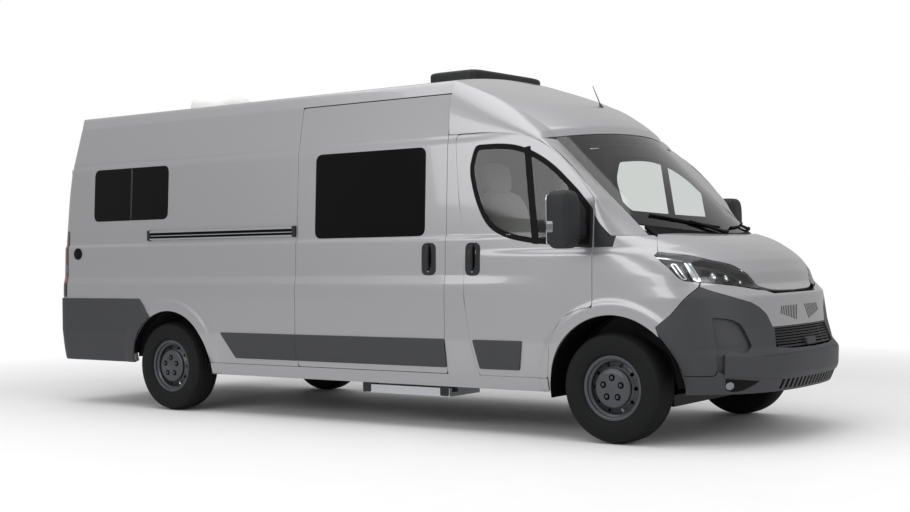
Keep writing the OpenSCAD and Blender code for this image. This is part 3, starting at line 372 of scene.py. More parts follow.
def sheet_mesh(skin, outline, holes, step, out, edge_r, depth, lining):
    """Points, normals, faces and material numbers of a trimmed panel with rolled edges.

    The outline is triangulated together with a grid of inner points in parameter space, lifted to the surface,
    and its rims turn in along a quarter circle and then straight back to a depth."""
    step = np.asarray(step, float)
    loops = [divided(np.asarray(l) / step, 0.9) * step for l in [outline, *holes]]
    low, high = loops[0].min(0), loops[0].max(0)
    gu, gv = (np.arange(low[k] + step[k] / 2, high[k], step[k]) for k in (0, 1))
    grid = np.stack(np.meshgrid(gu, gv), -1).reshape(-1, 2)
    grid = grid[inside(grid, loops[0])]
    for l in loops:
        grid = grid[away(grid / step, l / step,
                         0.55)] if l is loops[0] else grid[away(grid / step, l / step, 0.55) & ~inside(grid, l)]
    pts = np.concatenate([*loops, grid])
    start, edges = 0, []
    for l in loops:
        k = np.arange(len(l))
        edges.append(np.stack([k, np.roll(k, -1)], 1) + start)
        start += len(l)
    flat = geometry.delaunay_2d_cdt((pts / step).tolist(), np.concatenate(edges).tolist(), [], 0, 1e-7)
    uv = np.array([tuple(v) for v in flat[0]]) * step
    tri = np.array([tuple(f) for f in flat[2]], int)
    mid = uv[tri].mean(1)
    keep = inside(mid, loops[0])
    for l in loops[1:]:
        keep &= ~inside(mid, l)
    tri = tri[keep]
    p, n = skin.at(uv)
    n = n * out
    normal = np.cross(p[tri[:, 1]] - p[tri[:, 0]], p[tri[:, 2]] - p[tri[:, 0]])
    wrong = (normal * n[tri[:, 0]]).sum(1) < 0
    tri[wrong] = tri[wrong][:, ::-1]
    verts, norms, faces, mats = [p], [n], [tri], [np.zeros(len(tri), int)]
    total = len(p)
    if lining:
        verts.append(p - n * depth)
        norms.append(-n)
        faces.append(tri[:, ::-1] + total)
        mats.append(np.ones(len(tri), int))
        total *= 2
    for l in loops:
        q, m = skin.at(l)
        m = m * out
        along = np.roll(q, -1, 0) - np.roll(q, 1, 0)
        side = np.cross(along, m)
        side /= np.linalg.norm(side, axis=1, keepdims=True)
        turn = np.sign((skin.at(l + side_probe(l))[0] - q) * side).sum()
        if turn < 0:
            side = -side
        angles = np.radians([0, 30, 60, 90])
        rings = [q + side * edge_r * math.sin(a) - m * edge_r * (1 - math.cos(a)) for a in angles]
        rings.append(q + side * edge_r - m * depth)
        ring_n = [m * math.cos(a) + side * math.sin(a) for a in angles] + [side]
        k = np.arange(len(l))
        j = np.roll(k, -1)
        for r in range(len(rings) - 1):
            a, b = total + r * len(l), total + (r + 1) * len(l)
            quad = np.stack([a + k, a + j, b + j, b + k], 1)
            facing = np.cross(rings[r][j] - rings[r], rings[r + 1] - rings[r])
            if (facing * ring_n[r]).sum() < 0:
                quad = quad[:, ::-1]
            faces.append(np.concatenate([quad[:, [0, 1, 2]], quad[:, [0, 2, 3]]]))
            mats.append(np.zeros(2 * len(l), int))
        verts += rings
        norms += ring_n
        total += len(rings) * len(l)
    return np.concatenate(verts), np.concatenate(norms), np.concatenate(faces), np.concatenate(mats)


def side_probe(loop):
    """Small parameter steps that lead out of a loop's own area, to orient its rim."""
    return loop - shrunk(loop, 0.5)


def panel(name, skin, outline, mats, body, holes=(), step=(40, 12), out=1, edge_r=2.5, depth=26, lining=True,
          replaces=()):
    """A body panel: a surface trimmed to an outline, with rolled edges and an inner lining."""
    v, n, f, m = sheet_mesh(skin, outline, holes, step, out, edge_r, depth, lining)
    obj = piece(name, v, f, mats, body, n, m)
    if replaces:
        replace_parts(obj, *replaces)
    return obj


def mirrored(obj, name, body, replaces=()):
    """The same piece on the other side of the van."""
    mesh = obj.data.copy()
    count = len(mesh.vertices)
    co = np.empty(count * 3, np.float32)
    mesh.vertices.foreach_get("co", co)
    co = co.reshape(-1, 3) / MM * [1, -1, 1]
    loops = np.empty(len(mesh.loops), np.int32)
    mesh.loops.foreach_get("vertex_index", loops)
    starts = np.empty(len(mesh.polygons), np.int32)
    totals = np.empty(len(mesh.polygons), np.int32)
    mesh.polygons.foreach_get("loop_start", starts)
    mesh.polygons.foreach_get("loop_total", totals)
    faces = [loops[s:s + t][::-1].tolist() for s, t in zip(starts, totals)]
    slots = np.empty(len(mesh.polygons), np.int32)
    mesh.polygons.foreach_get("material_index", slots)
    corner = np.empty(len(mesh.loops) * 3, np.float32)
    mesh.corner_normals.foreach_get("vector", corner)
    normals = np.zeros((count, 3))
    normals[loops] = corner.reshape(-1, 3) * [1, -1, 1]
    out = piece(name, co, faces, list(mesh.materials), body, normals, slots)
    if replaces:
        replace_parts(out, *replaces)
    return out


# ---- Body sections

# Rows of height and inset from the half width; the wall's own rows carry its pressed lines
SECTION = [[240, 70], [300, 60], [400, 33], [470, 19], [620, 0], [900, 0], [1186, 8], [1204, 12], [1228, 27],
           [1420, 38], [1962, 73], [1992, 74], [2012, 80], [2300, 139], [2340, 150], [2400, 172]]
WALL_SECTION = [[240, 70], [300, 60], [400, 33], [470, 19], [620, 0], [900, 0], [985, 2], [1008, 4], [1060, 17],
                [1080, 18], [1300, 25], [1312, 27], [1328, 38], [1345, 39], [1420, 42], [1940, 70], [1962, 73],
                [1992, 80], [2012, 82], [2300, 139], [2340, 150], [2400, 172]]
inset = soft(SECTION, 14)
wall_inset = soft(WALL_SECTION, 4)
lean = soft([[300, 35], [1300, 43], [1750, 70], [2100, 120], [2400, 157]], 160)


def half_width(z):
    """Half width of the side skin at a height."""
    return HALF_W - wall_inset(z)


def cab_half(x, z):
    """Half width of the cab side: the wall's creases fade into the cab's section, and it narrows towards the nose."""
    t = np.maximum(0, (x - B_POST) / 1300)
    w = np.clip((x - B_POST) / 900, 0, 1)
    w = w * w * (3 - 2 * w)
    return HALF_W - (1 - w) * wall_inset(z) - w * inset(z) - t ** 2 * (20 + np.maximum(0, z - 1190) * 0.035)


def arch_flare(x, z, axle, radius, width):
    """Pressed ring round a wheel arch: a raised band of a width whose outer edge falls off along an S-curve."""
    d = np.hypot(x - axle, z - ARCH_Z) - radius
    return 11 / (1 + np.exp((d - width) / 9)) * (z > 300)


def right_wall(u, z):
    """Right-hand wall and rear corner over u and height.

    u is the distance ahead of the corner's start; below 0 it turns a quarter circle, then runs along the back."""
    back = REAR_END + lean(z)
    a = np.clip(-u / CORNER, 0, np.pi / 2)
    along = np.maximum(-u - CORNER * np.pi / 2, 0)
    x = back + CORNER - CORNER * np.sin(a) + np.maximum(u, 0)
    y = -(half_width(z) - CORNER + CORNER * np.cos(a)) + along
    y = y - arch_flare(x, z, REAR_ARCH_X, REAR_ARCH_R, FLARE) * (u > 60)
    return x, y, z


def cab_side(x, z):
    """Right-hand cab side over x and z."""
    return x, -(cab_half(x, z) + arch_flare(x, z, FRONT_ARCH_X, FRONT_ARCH_R, FLARE)), z


WALL = Skin(np.arange(-1200, 4200, 10.0), np.arange(280, 2404, 4.0), right_wall)
CAB = Skin(np.arange(B_POST - 20, FRONT_X - 60, 8.0), np.arange(280, 2100, 4.0), cab_side)

# Rows of height and value: reach ahead of the axle, and the two powers of the superellipse
NOSE_X = soft([[318, 900], [350, 915], [430, 946], [559, 948], [600, 905], [726, 856], [917, 826], [985, 752],
               [1060, 738], [1141, 700], [1195, 650], [1244, 580], [1279, 505], [1306, 410], [1330, 300]], 16)
NOSE_K = soft([[318, 3.4], [559, 3.4], [600, 3.5], [726, 4.0], [985, 4.0], [1060, 3.8], [1141, 3.1], [1195, 2.6],
               [1244, 2.3], [1279, 2.1], [1306, 2], [1330, 1.9]], 30)
NOSE_M = soft([[290, 2.5], [985, 2.5], [1060, 2.3], [1141, 2.1], [1195, 2], [1330, 2]], 30)
NOSE_BACK = FRONT_X - 130
NOSE_SPAN = 1700.0


def nose(s, z):
    """Nose outline at each height: a superellipse from the cab side round to the front, by even steps of length.

    s runs from the right-hand side to the left; beyond NOSE_SPAN it goes on straight back along the cab side."""
    zs, share = z[:, 0], np.clip(s[0] / NOSE_SPAN, -1, 1)
    a = np.linspace(0, np.pi / 2, 600)
    u = np.sin(a) ** (2 / NOSE_K(zs)[:, None])
    v = np.cos(a) ** (2 / NOSE_M(zs)[:, None])
    x = NOSE_BACK + (FRONT_X + NOSE_X(zs) - NOSE_BACK)[:, None] * u
    y = cab_half(NOSE_BACK, zs)[:, None] * v
    run = np.concatenate([np.zeros((len(zs), 1)), np.cumsum(np.hypot(np.diff(x), np.diff(y)), 1)], 1)
    run /= run[:, -1:]
    want = 1 - np.abs(share)
    px = np.stack([np.interp(want, r, row) for r, row in zip(run, x)])
    py = np.stack([np.interp(want, r, row) for r, row in zip(run, y)])
    behind = np.maximum(0, np.abs(s) - NOSE_SPAN)
    px = px - behind
    py = np.where(behind > 0, cab_half(px, z),
                  py) + arch_flare(px, z, FRONT_ARCH_X, FRONT_ARCH_R, FLARE) * (np.abs(s) > 0.45 * NOSE_SPAN)
    return px, np.sign(s) * py, z


NOSE = Skin(np.arange(-NOSE_SPAN - 408, NOSE_SPAN + 409, 8.5), np.arange(296, 1318, 3.0), nose)


# ---- Windscreen, dome and pillars

SLOPE, BOW, SCREEN_HALF, SCREEN_EDGE = 0.967, 230.0, 780.0, 768.0


def screen_x(y, z):
    """Windscreen: leans back at a slope and bows in plan."""
    return FRONT_X + 400 + (1285 - z) / SLOPE - BOW * (y / SCREEN_HALF) ** 2


def screen_low(y):
    """Lower edge of the windscreen: rises with the square of y."""
    return 1312 + 68 * (np.abs(y) / SCREEN_HALF) ** 2


def screen_top(y):
    """Upper edge of the windscreen: falls with a power of y."""
    return 2012 - 45 * (np.abs(y) / SCREEN_EDGE) ** 2.2


def screen_shape(y, t):
    """Windscreen glass over y and the share of its height."""
    z = screen_low(y) + (screen_top(y) - screen_low(y)) * t / 100
    return screen_x(y, z) - 3, y, z


# Dome rows from the windscreen edge back: x from the axle, height, bow in plan, lean
DOME_X = [-350, -384, -455, -618, -830, -1030, -1276]
ROOF_BOW = 62.0
CROWN = ROOF_Z - 100 + ROOF_BOW
DOME_Z = [2016, 2070, 2128, 2232, 2318, 2386, CROWN]
DOME_BOW = [230, 225, 215, 180, 130, 70, 0]
DOME_LEAN = [1, 0.9, 0.5, 0, 0, 0, 0]
DOME_LOW = soft([[-1276, 2018], [-1000, 2018], [-860, 2010], [-700, 1990], [-540, 1935], [-440, 1865]], 30)
EDGE_Y = HALF_W - 172


def dome_shape(s, t):
    """Roof dome: t in hundredths from the windscreen edge back to the roof, s in hundredths from middle to side."""
    rows = np.linspace(0, 100, 7)
    f = t / 100
    fine = np.arange(0, 100.01, 0.5)
    weights = np.hanning(31)[1:-1] / np.hanning(31).sum()
    row = []
    for values in (DOME_X, DOME_Z, DOME_BOW, DOME_LEAN):
        wide = np.pad(np.interp(fine, rows, values), 14, mode="reflect", reflect_type="odd")
        row.append(np.interp(t, fine, np.convolve(wide, weights, "valid")))
    a = np.abs(s) / 100
    k = np.minimum(1, a / 0.72)
    drop = (45 + (ROOF_BOW - 45) * f) * k ** 2.2
    edge_y = SCREEN_EDGE + (EDGE_Y - SCREEN_EDGE) * f
    x = FRONT_X + row[0] - row[2] * k ** 2 + drop * row[3] / SLOPE
    z = row[1] - drop
    u = np.maximum(0, (a - 0.72) / 0.28)
    low_z = DOME_LOW(x - FRONT_X)
    low_y = cab_half(x, low_z)
    bez = lambda p, q, r: p * (1 - u) ** 2 + 2 * q * u * (1 - u) + r * u ** 2
    y = np.where(u > 0, bez(edge_y, low_y - 8, low_y), edge_y * k)
    z = np.where(u > 0, bez(z, z + (low_z - z) * 0.25, low_z), z)
    return x, np.sign(s) * y, z


PILLAR_X = soft([[1290, -124], [1540, -124], [1620, -184], [1745, -294], [1855, -414], [1930, -520]], 24)


def pillar_shape(t, z):
    """Right-hand windscreen pillar: level curves from the door opening (t 0) round to the glass edge (t 100)."""
    w = t / 100
    x0, y1 = FRONT_X + PILLAR_X(z), SCREEN_EDGE + 1
    y0, x1 = cab_half(x0, z), screen_x(SCREEN_EDGE + 1, z)
    cx, cy = x0 + (x1 - x0) * 0.62 + 22, y0 - 14
    bez = lambda p, q, r: p * (1 - w) ** 2 + 2 * q * w * (1 - w) + r * w ** 2
    return bez(x0, cx, x1), -bez(y0, cy, y1), z


SCREEN_SKIN = Skin(np.arange(-SCREEN_EDGE, SCREEN_EDGE + 1, 8.0), np.arange(0, 100.1, 1.0), screen_shape)
DOME = Skin(np.arange(-100, 100.1, 0.5), np.arange(0, 100.1, 0.5), dome_shape)
PILLAR = Skin(np.arange(0, 100.1, 2.0), np.arange(1290, 1960, 4.0), pillar_shape)


# ---- Outlines

def wall_uv(points):
    """Wall parameters of XZ points on the side."""
    p = np.asarray(points, float)
    return np.stack([p[:, 0] - REAR_END - lean(p[:, 1]) - CORNER, p[:, 1]], 1)


def back_u(y, z):
    """Wall parameter u of a place at y (negative) on the rear corner or rear face at a height."""
    flat = half_width(z) - CORNER
    a = np.arccos(np.clip((-y - flat) / CORNER, 0, 1))
    return np.where(-y > flat, -CORNER * a, -CORNER * np.pi / 2 - (y + flat))


def rect(x0, x1, z0, z1, r=0.0):
    """Rounded rectangle."""
    loop = [[x0, z0], [x1, z0], [x1, z1], [x0, z1]]
    return divided(rounded(loop, r, 7), 60) if r else np.array(loop, float)


def from_axle(points):
    """Points given from the front axle, in the van's frame."""
    return np.asarray(points, float) + [FRONT_X, 0]


# Windows as x from, x to, z from, z to
WINDOW_SLIDE = [FRONT_X - 2475, FRONT_X - 1461, 1332, 1947]
WINDOW_REAR = [REAR_X - 915, REAR_X - 15, 1520, 1950]
WINDOW_LEFT = [*WINDOW_SLIDE[:2], 1400, 1947]
PAINTED = [PAINT, LINING]


def arc(cx, cz, r, a0, a1, n=24):
    """Points of an arc by angles in degrees."""
    a = np.radians(np.linspace(a0, a1, n))
    return np.stack([cx + r * np.cos(a), cz + r * np.sin(a)], 1)


def thin(skin, loop, step, edge_r, depth):
    """A thin trimmed sheet of a skin, without holes or lining."""
    return sheet_mesh(skin, loop, [], step, 1, edge_r, depth, False)


# Sliding door
panel("sliding_door_skin", WALL, wall_uv(rect(SLIDE_REAR + 3, B_POST - GAP - 2, DOOR_LOW + 1, GUTTER - 9, 22)),
      PAINTED, "body",
      [wall_uv(rect(*WINDOW_SLIDE, 60))], step=(30, 8), depth=WALL_DEPTH, lining=False,
      replaces=["sliding_door"])

# Side behind the sliding door, with wheel arch, rear corner and lamp column
z_up = np.linspace(520, GUTTER, 60)
door_edge = np.stack([back_u(-806.0, z_up), z_up], 1)
arch_rear = wall_uv(arc(REAR_ARCH_X, ARCH_Z, REAR_ARCH_R + 2, 167, 6, 40))


def side_outline(front, low):
    """Outline of a side panel from the wheel arch forward to a place and round the rear corner."""
    ahead = wall_uv([[REAR_X + 470, low], *[[front, z] for z in np.linspace(low, GUTTER, 40)]])
    top = wall_uv([[REAR_END + lean(GUTTER) + CORNER, GUTTER]])
    corner = np.array([[back_u(-830.0, 372.0), 372.0]])
    foot = wall_uv([[REAR_X - 405, 372]])
    return np.concatenate([arch_rear, ahead, top, door_edge[::-1], corner, foot])


lamp_z = np.linspace(890, 1450, 24)
lamp_front = np.stack([wall_uv(np.stack([np.full(24, LAMP_FRONT), lamp_z], 1))[:, 0], lamp_z], 1)
lamp_back = np.stack([back_u(-826.0, lamp_z), lamp_z], 1)
LAMP_LOOP = rounded(np.concatenate([lamp_front[::6], lamp_front[-1:], lamp_back[::-6], lamp_back[:1]]), 16, 4)
panel("side_skin_right", WALL, side_outline(SLIDE_REAR - GAP - 1, DOOR_LOW), PAINTED, "body",
      [wall_uv(rect(*WINDOW_REAR, 60)), LAMP_LOOP], step=(22, 10), depth=WALL_DEPTH, lining=False,
      replaces=["side_panel_right"])
left = panel("side_skin_left", WALL, side_outline(B_POST - 1, DOOR_LOW), PAINTED, "body",
             [wall_uv(rect(*WINDOW_REAR, 60)), wall_uv(rect(*WINDOW_LEFT, 60)), LAMP_LOOP], step=(22, 10),
             depth=WALL_DEPTH, lining=False)
mirrored(left, "side_skin_left_panel", "body", ["side_panel_left"])
bpy.data.objects.remove(left)

# Side windows: black glass flush in the openings, with a divider in the rear ones
for name, win, hand in (("slide_window", WINDOW_SLIDE, 1), ("rear_quarter_window", WINDOW_REAR, 1),
                        ("left_window", WINDOW_LEFT, -1), ("left_quarter_window", WINDOW_REAR, -1)):
    x0, x1, z0, z1 = win
    pane = panel(name, WALL, wall_uv(rect(x0 + 3, x1 - 3, z0 + 3, z1 - 3, 58)), [BLACK_GLASS, RUBBER], "body",
                 edge_r=1.5, depth=14)
    if hand < 0:
        mirrored(pane, name + "_pane", "body")
        bpy.data.objects.remove(pane)
    if z0 == WINDOW_REAR[2]:
        mid = x0 + 0.51 * (x1 - x0)
        bar = panel(name + "_bar", off_skin(WALL, 1.5), wall_uv(divided(rect(mid - 7, mid + 7, z0 + 8, z1 - 8), 40)),
                    [PIANO, PIANO], "body", edge_r=1, depth=3, lining=False)
        if hand < 0:
            mirrored(bar, name + "_divider", "body")
            bpy.data.objects.remove(bar)
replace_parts(bpy.data.objects["slide_window"], "side_windows")

# Tail lamps
lamp = panel("tail_lamp_right", WALL, shrunk(LAMP_LOOP, 1.5), [SMOKE, PLASTIC], "body", step=(14, 14), depth=40)
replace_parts(lamp, "tail_lamps")
mirrored(lamp, "tail_lamp_left", "body")

# Sills and door posts
sill = panel("sill_rear_right", WALL,
             wall_uv(divided([[REAR_X + 466, SILL_LOW], [B_POST - 1, SILL_LOW], [B_POST - 1, SILL_TOP],
                              [REAR_X + 468, SILL_TOP]], 60)), PAINTED, "body", depth=60)
mirrored(sill, "sill_rear_left", "body")
post = np.array([[-1276, SILL_LOW], [-484, SILL_LOW], [-482, SILL_TOP], [-1018, SILL_TOP], [-1037, 456], [-1064, 595],
                 [-1117, 896], [-1130, 1299], [-1179, 1568], [-1208, 1905], [-1212, 1995], [-1196, 2016],
                 [-1276, 2016]], float)
post = panel("door_post_right", CAB, from_axle(post) + [1, 0], PAINTED, "body", step=(20, 12), depth=40)
mirrored(post, "door_post_left", "body")
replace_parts(post, "body_frame")

# Near-black sheets of painted shade under the joints round the sliding door and the cab doors, so the joints show as
# dark lines
seal = sheet_mesh(off_skin(WALL, -4), wall_uv(divided(rect(SLIDE_REAR - 12, B_POST + 3, 388, GUTTER + 1), 60)),
                  [wall_uv(rect(SLIDE_REAR + 5, B_POST - GAP - 4, 399, GUTTER - 11, 20))], (40, 12), 1, 0.5, 2, False)
v, n, f, m = seal
piece("sliding_door_shade_sheet", v, f, [VOID, VOID], "body", n, m)

# Cab doors
DOOR = np.array([[-1014, 395], [-1031, 456], [-1058, 595], [-1111, 896], [-1124, 1299], [-1173, 1568], [-1202, 1905],
                 [-1206, 1990], [-1190, 2012], [-860, 2012], [-700, 1990], [-540, 1935], [-420, 1855], [-300, 1745],
                 [-190, 1620], [-130, 1540], [-130, 860], [-240, 846], [-355, 790], [-440, 660], [-476, 395]], float)
GLASS = np.array([[-1060, 1900], [-1096, 1769], [-1042, 1565], [-963, 1416], [-880, 1345], [-760, 1300], [-554, 1262],
                  [-150, 1250], [-150, 1490], [-245, 1603], [-392, 1745], [-500, 1825], [-619, 1888], [-740, 1925],
                  [-856, 1937], [-1035, 1937]], float)
door_loop = rounded(DOOR,
                    np.array([20, 60, 60, 120, 160, 120, 80, 30, 30, 140, 140, 140, 130, 130, 80, 40, 30, 60, 60, 90,
                              20]), 6)
glass_loop = rounded(GLASS, np.array([50, 80, 90, 90, 70, 80, 120, 20, 20, 60, 80, 80, 80, 80, 70, 40]), 6)
# Near-black ring of painted shade behind the cab door's joint
door_shade_sheet = panel("cab_door_seal_right", off_skin(CAB, -8), from_axle(shrunk(door_loop, -12)), [VOID, VOID], "body",
                  [from_axle(shrunk(door_loop, -0.6))], step=(24, 12), edge_r=0.5,
                  depth=2, lining=False)
mirrored(door_shade_sheet, "cab_door_seal_left", "body")
door = panel("cab_door_skin_right", CAB, from_axle(door_loop), PAINTED, "cab_door_right", [from_axle(glass_loop)],
             step=(24, 12), depth=DOOR_DEPTH, replaces=["cab_door_right"])
mirrored(door, "cab_door_skin_left", "cab_door_left", ["cab_door_left"])
glass = panel("cab_glass_pane_right", CAB, from_axle(shrunk(glass_loop, 9)), [CLEAR, CLEAR], "cab_door_right",
              step=(24, 24), edge_r=0.5, depth=4, lining=False,
              replaces=["cab_glass_right"])
mirrored(glass, "cab_glass_pane_left", "cab_door_left", ["cab_glass_left"])
glass_inner = rounded(shrunk(GLASS, 36), np.array([30, 50, 60, 60, 50, 60, 80, 20, 20, 40, 60, 60, 60, 60, 50, 30]),
                      6)
frame_r = panel("cab_glass_surround_right", off_skin(CAB, 1), from_axle(shrunk(glass_loop, 1.5)), [RUBBER, RUBBER],
                "cab_door_right", [from_axle(glass_inner)], step=(24, 12), edge_r=1.5, depth=12)
mirrored(frame_r, "cab_glass_surround_left", "cab_door_left")

# Nose: wings, bonnet, bumper, painted panel and headlamps
BONNET_REAR = np.array([[395, 0], [363, 300], [206, 742]], float)
BONNET_FLANK = np.array([[206, 742], [250, 832], [284, 890]], float)
BONNET_SIDE = np.array([[284, 890], [346, 856], [416, 801], [481, 747], [546, 690], [594, 626], [637, 560],
                        [690, 492], [716, 442], [742, 404]], float)
BONNET_FRONT = np.array([[742, 404], [772, 320], [790, 200], [798, 0]], float)
half = np.concatenate([spline(BONNET_REAR, 30)[:-1], spline(BONNET_FLANK, 20)[:-1], spline(BONNET_SIDE, 20)[:-1],
                       spline(BONNET_FRONT, 25)])
plan = np.concatenate([half * [1, -1], half[::-1][1:-1]])
plan_xy = from_axle(plan)


def on_count(loop, z):
    """How many points of a falling line lie above a height."""
    return int((loop[:, 1] > z).sum())


def open_line(points, step=12.0):
    """An open polyline with points added at most a step apart."""
    p = np.asarray(points, float)
    out = []
    for a, b in zip(p[:-1], p[1:]):
        n = max(1, int(np.ceil(np.linalg.norm(b - a) / step)))
        out.append(divided(np.stack([a, b]), step)[:n])
    return np.concatenate([*out, p[-1:]])


def on_nose(points, axes=(0, 2), step=12.0):
    """Nose parameters, on the right-hand side, of a polyline given from the front axle by two coordinates."""
    p = open_line(points, step)
    if axes[0] == 0:
        p = from_axle(p)
    return NOSE.find(p, list(axes), right=True)


bonnet_uv = NOSE.find(divided(plan_xy, 12), [0, 1])
panel("bonnet_skin", NOSE, shrunk(bonnet_uv, 1.0), PAINTED, "bonnet", step=(16, 7), depth=22,
      replaces=["bonnet"])

right_edge = on_nose(spline(BONNET_SIDE, 20) * [1, -1], (0, 1), 25)
flank = on_nose(spline(BONNET_FLANK, 20) * [1, -1], (0, 1), 25)
flank = flank[flank[:, 1] < 1301]
edge_out = right_edge + [-5, -3]
lamp_low = on_nose(np.concatenate([spline([[270, 1184], [330, 1137], [401, 1077], [435, 1044], [470, 1022]], 15)[:-1],
                                   spline([[470, 1022], [549, 1011], [642, 993], [700, 976], [744, 958]], 15)]))
LAMP_UV = np.concatenate([lamp_low, edge_out[::-1]])
lamp_shell = panel("headlamp_lens_right", NOSE, shrunk(LAMP_UV, 2), [LENS, LENS], "body", step=(16, 10), edge_r=1.5,
                   depth=6, lining=False)
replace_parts(lamp_shell, "headlamps")
mirrored(lamp_shell, "headlamp_lens_left", "body")
bowl = panel("headlamp_bowl_right", off_skin(NOSE, -48), shrunk(LAMP_UV, 3), [PIANO, PIANO], "body",
             step=(16, 10), edge_r=1, depth=4, lining=False)
mirrored(bowl, "headlamp_bowl_left", "body")

arch_front = arc(8, ARCH_Z, FRONT_ARCH_R + 2, 186, 45.5, 40)
wing_xz = np.concatenate([[[-123, 1304], [-123, 853], [-238, 840], [-350, 784], [-434, 657], [-470, 395],
                           [-470, 306]], arch_front, [[312, 738], [400, 815], [538, 984]]])
wing_uv = np.concatenate([on_nose(wing_xz), lamp_low[:on_count(lamp_low, 1012)][::-1] + [-4, -6],
                          flank[::-1] + [-7, -2],
                          on_nose([[196, 1304], [-123, 1304]])[:-1]])
wing = panel("wing_skin_right", NOSE, wing_uv, PAINTED, "body", step=(16, 8), depth=24,
             replaces=["wings"])
mirrored(wing, "wing_skin_left", "body")

# Painted panel between the lamps, with arms that run back under them
arm_low = spline([[548, 984], [598, 961], [695, 922], [761, 883]], 15)
panel_right = np.concatenate([on_nose(arm_low), on_nose([[-520, 850], [-462, 806], [-420, 724]], (1, 2))])
panel_top = np.concatenate([on_nose([[-330, 925], [-400, 946]], (1, 2)),
                            lamp_low[on_count(lamp_low, 1011):][::-1] + [-2, -5]])
PANEL_UV = np.concatenate([panel_top[::-1], panel_top * [-1, 1], (panel_right * [-1, 1]), panel_right[::-1]])
panel("nose_panel", NOSE, PANEL_UV, PAINTED, "body", step=(16, 8), depth=20, replaces=["grille_panel"])

# Front bumper in moulded plastic, with the mouth cut for the lower grille
bump_side = np.concatenate([[[466, 322]], arc(8, ARCH_Z, FRONT_ARCH_R + 4, 0, 45.5, 16),
                            [[318, 734], [406, 811], [546, 978]]])
bump_right = np.concatenate([on_nose(bump_side), panel_right + [-1, -5]])
BUMPER_UV = np.concatenate([bump_right, (bump_right * [-1, 1])[::-1]])
mouth = np.concatenate([on_nose([[-410, 712], [-456, 596]], (1, 2)),
                        on_nose([[-456, 596], [-300, 584], [-1, 580]], (1, 2))])
recess_xz = rounded([[621, 796], [697, 783], [736, 753], [764, 687], [790, 612], [776, 572], [727, 574], [693, 562],
                     [686, 444], [648, 468], [650, 590], [632, 690]],
                    [14, 20, 24, 30, 12, 10, 10, 6, 8, 14, 30, 40], 5)
RECESS_UV = NOSE.find(from_axle(divided(recess_xz, 20)), [0, 2], right=True)
MOUTH_UV = np.concatenate([mouth, (mouth * [-1, 1])[::-1]])
panel("front_bumper_skin", NOSE, BUMPER_UV, [PLASTIC, CHASSIS], "body",
      [MOUTH_UV, RECESS_UV, (RECESS_UV * [-1, 1])[::-1]], step=(18, 9), depth=24, lining=False,
      replaces=["front_bumper"])
pocket = panel("bumper_pocket_right", off_skin(NOSE, -22), shrunk(RECESS_UV, -10), [PLASTIC, PLASTIC], "body",
               step=(16, 9), depth=4, lining=False)
mirrored(pocket, "bumper_pocket_left", "body")
# Near-black sheet of painted shade behind the grille mouth
panel("mouth_shade_sheet", off_skin(NOSE, -45), shrunk(MOUTH_UV, -12), [VOID, VOID], "body", step=(24, 12), depth=4)

# Windscreen pillars, glass, dome and roof
pillar = panel("pillar_skin_right", PILLAR, rect(0, 100, 1308, 1952), PAINTED, "body", step=(8, 10), depth=30,
               replaces=["a_pillars"])
mirrored(pillar, "pillar_skin_left", "body")
panel("windscreen_pane", SCREEN_SKIN, rect(-SCREEN_EDGE + 1, SCREEN_EDGE - 1, 0.5, 99.5, 6), [SCREEN, SCREEN], "body",
      step=(32, 4), edge_r=0.5, depth=5, lining=False,
      replaces=["windscreen"])
panel("windscreen_border", off_skin(SCREEN_SKIN, -7), rect(-SCREEN_EDGE + 1, SCREEN_EDGE - 1, 0.5, 99.5, 6),
      [RUBBER, RUBBER], "body", [rect(-SCREEN_EDGE + 48, SCREEN_EDGE - 48, 17, 92, 12)], step=(24, 3), edge_r=0.5,
      depth=3)
panel("dome_skin", DOME, rect(-99.8, 99.8, 0.2, 99.6), PAINTED, "body", step=(2, 2), depth=30,
      replaces=["cab_roof"])

# Width of the rounded strip along the roof's edge
RIM = 100.0


def crown(y):
    """Height of the roof across the van."""
    return CROWN - ROOF_BOW * np.minimum(1, np.abs(y) / EDGE_Y) ** 2.2


def roof_edge(u, d):
    """Outer strip of the roof: the gutter line moved inwards by d.

    It rises along the wall's slope until it rounds over into the crown."""
    x, y, _ = right_wall(u, np.full_like(u, GUTTER))
    a = np.clip(-u / CORNER, 0, np.pi / 2)
    x, y = x + d * np.sin(a), y + d * np.cos(a)
    steep = 2.55 + 5.5 * np.sin(a) ** 2
    rise, top = GUTTER + d * steep, crown(y)
    k = 11.0
    return x, y, -k * np.logaddexp(-rise / k, -top / k)


EDGE = Skin(np.arange(-1200, 3950, 10.0), np.arange(0, RIM + 1, 2.0), roof_edge)
back_x = REAR_END + lean(GUTTER)
front_u = B_POST - 3 - back_x - CORNER
mid_u = -CORNER * np.pi / 2 - (half_width(GUTTER) - CORNER)
FIELD = Skin(np.arange(back_x + 60, B_POST, 20.0), np.arange(-860, 861, 10.0), lambda x, y: (x, y, crown(y)))
v1, n1, f1, m1 = sheet_mesh(EDGE, rect(mid_u, front_u, 1, RIM), [], (40, 5), 1, 2, 20, True)
v2, n2 = v1 * [1, -1, 1], n1 * [1, -1, 1]
side_y = half_width(GUTTER) - RIM
v3, n3, f3, m3 = sheet_mesh(FIELD, rect(back_x + RIM, B_POST - 3, -side_y, side_y), [], (60, 40), 1, 0.5, 20, True)
roof = piece("roof_skin", np.concatenate([v1, v2, v3]), np.concatenate([f1, f1[:, ::-1] + len(v1), f3 + 2 * len(v1)]),
             PAINTED, "body", np.concatenate([n1, n2, n3]),
             np.concatenate([m1, m1, m3]))
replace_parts(roof, "roof")


# ---- Rear doors

def back_rect(y0, y1, z0, z1, n=40):
    """Outline of a rectangle on the rear face between two y and two heights."""
    z = np.linspace(z0, z1, n)
    return np.concatenate([np.stack([back_u(y0, z), z], 1), np.stack([back_u(y1, z), z], 1)[::-1]])


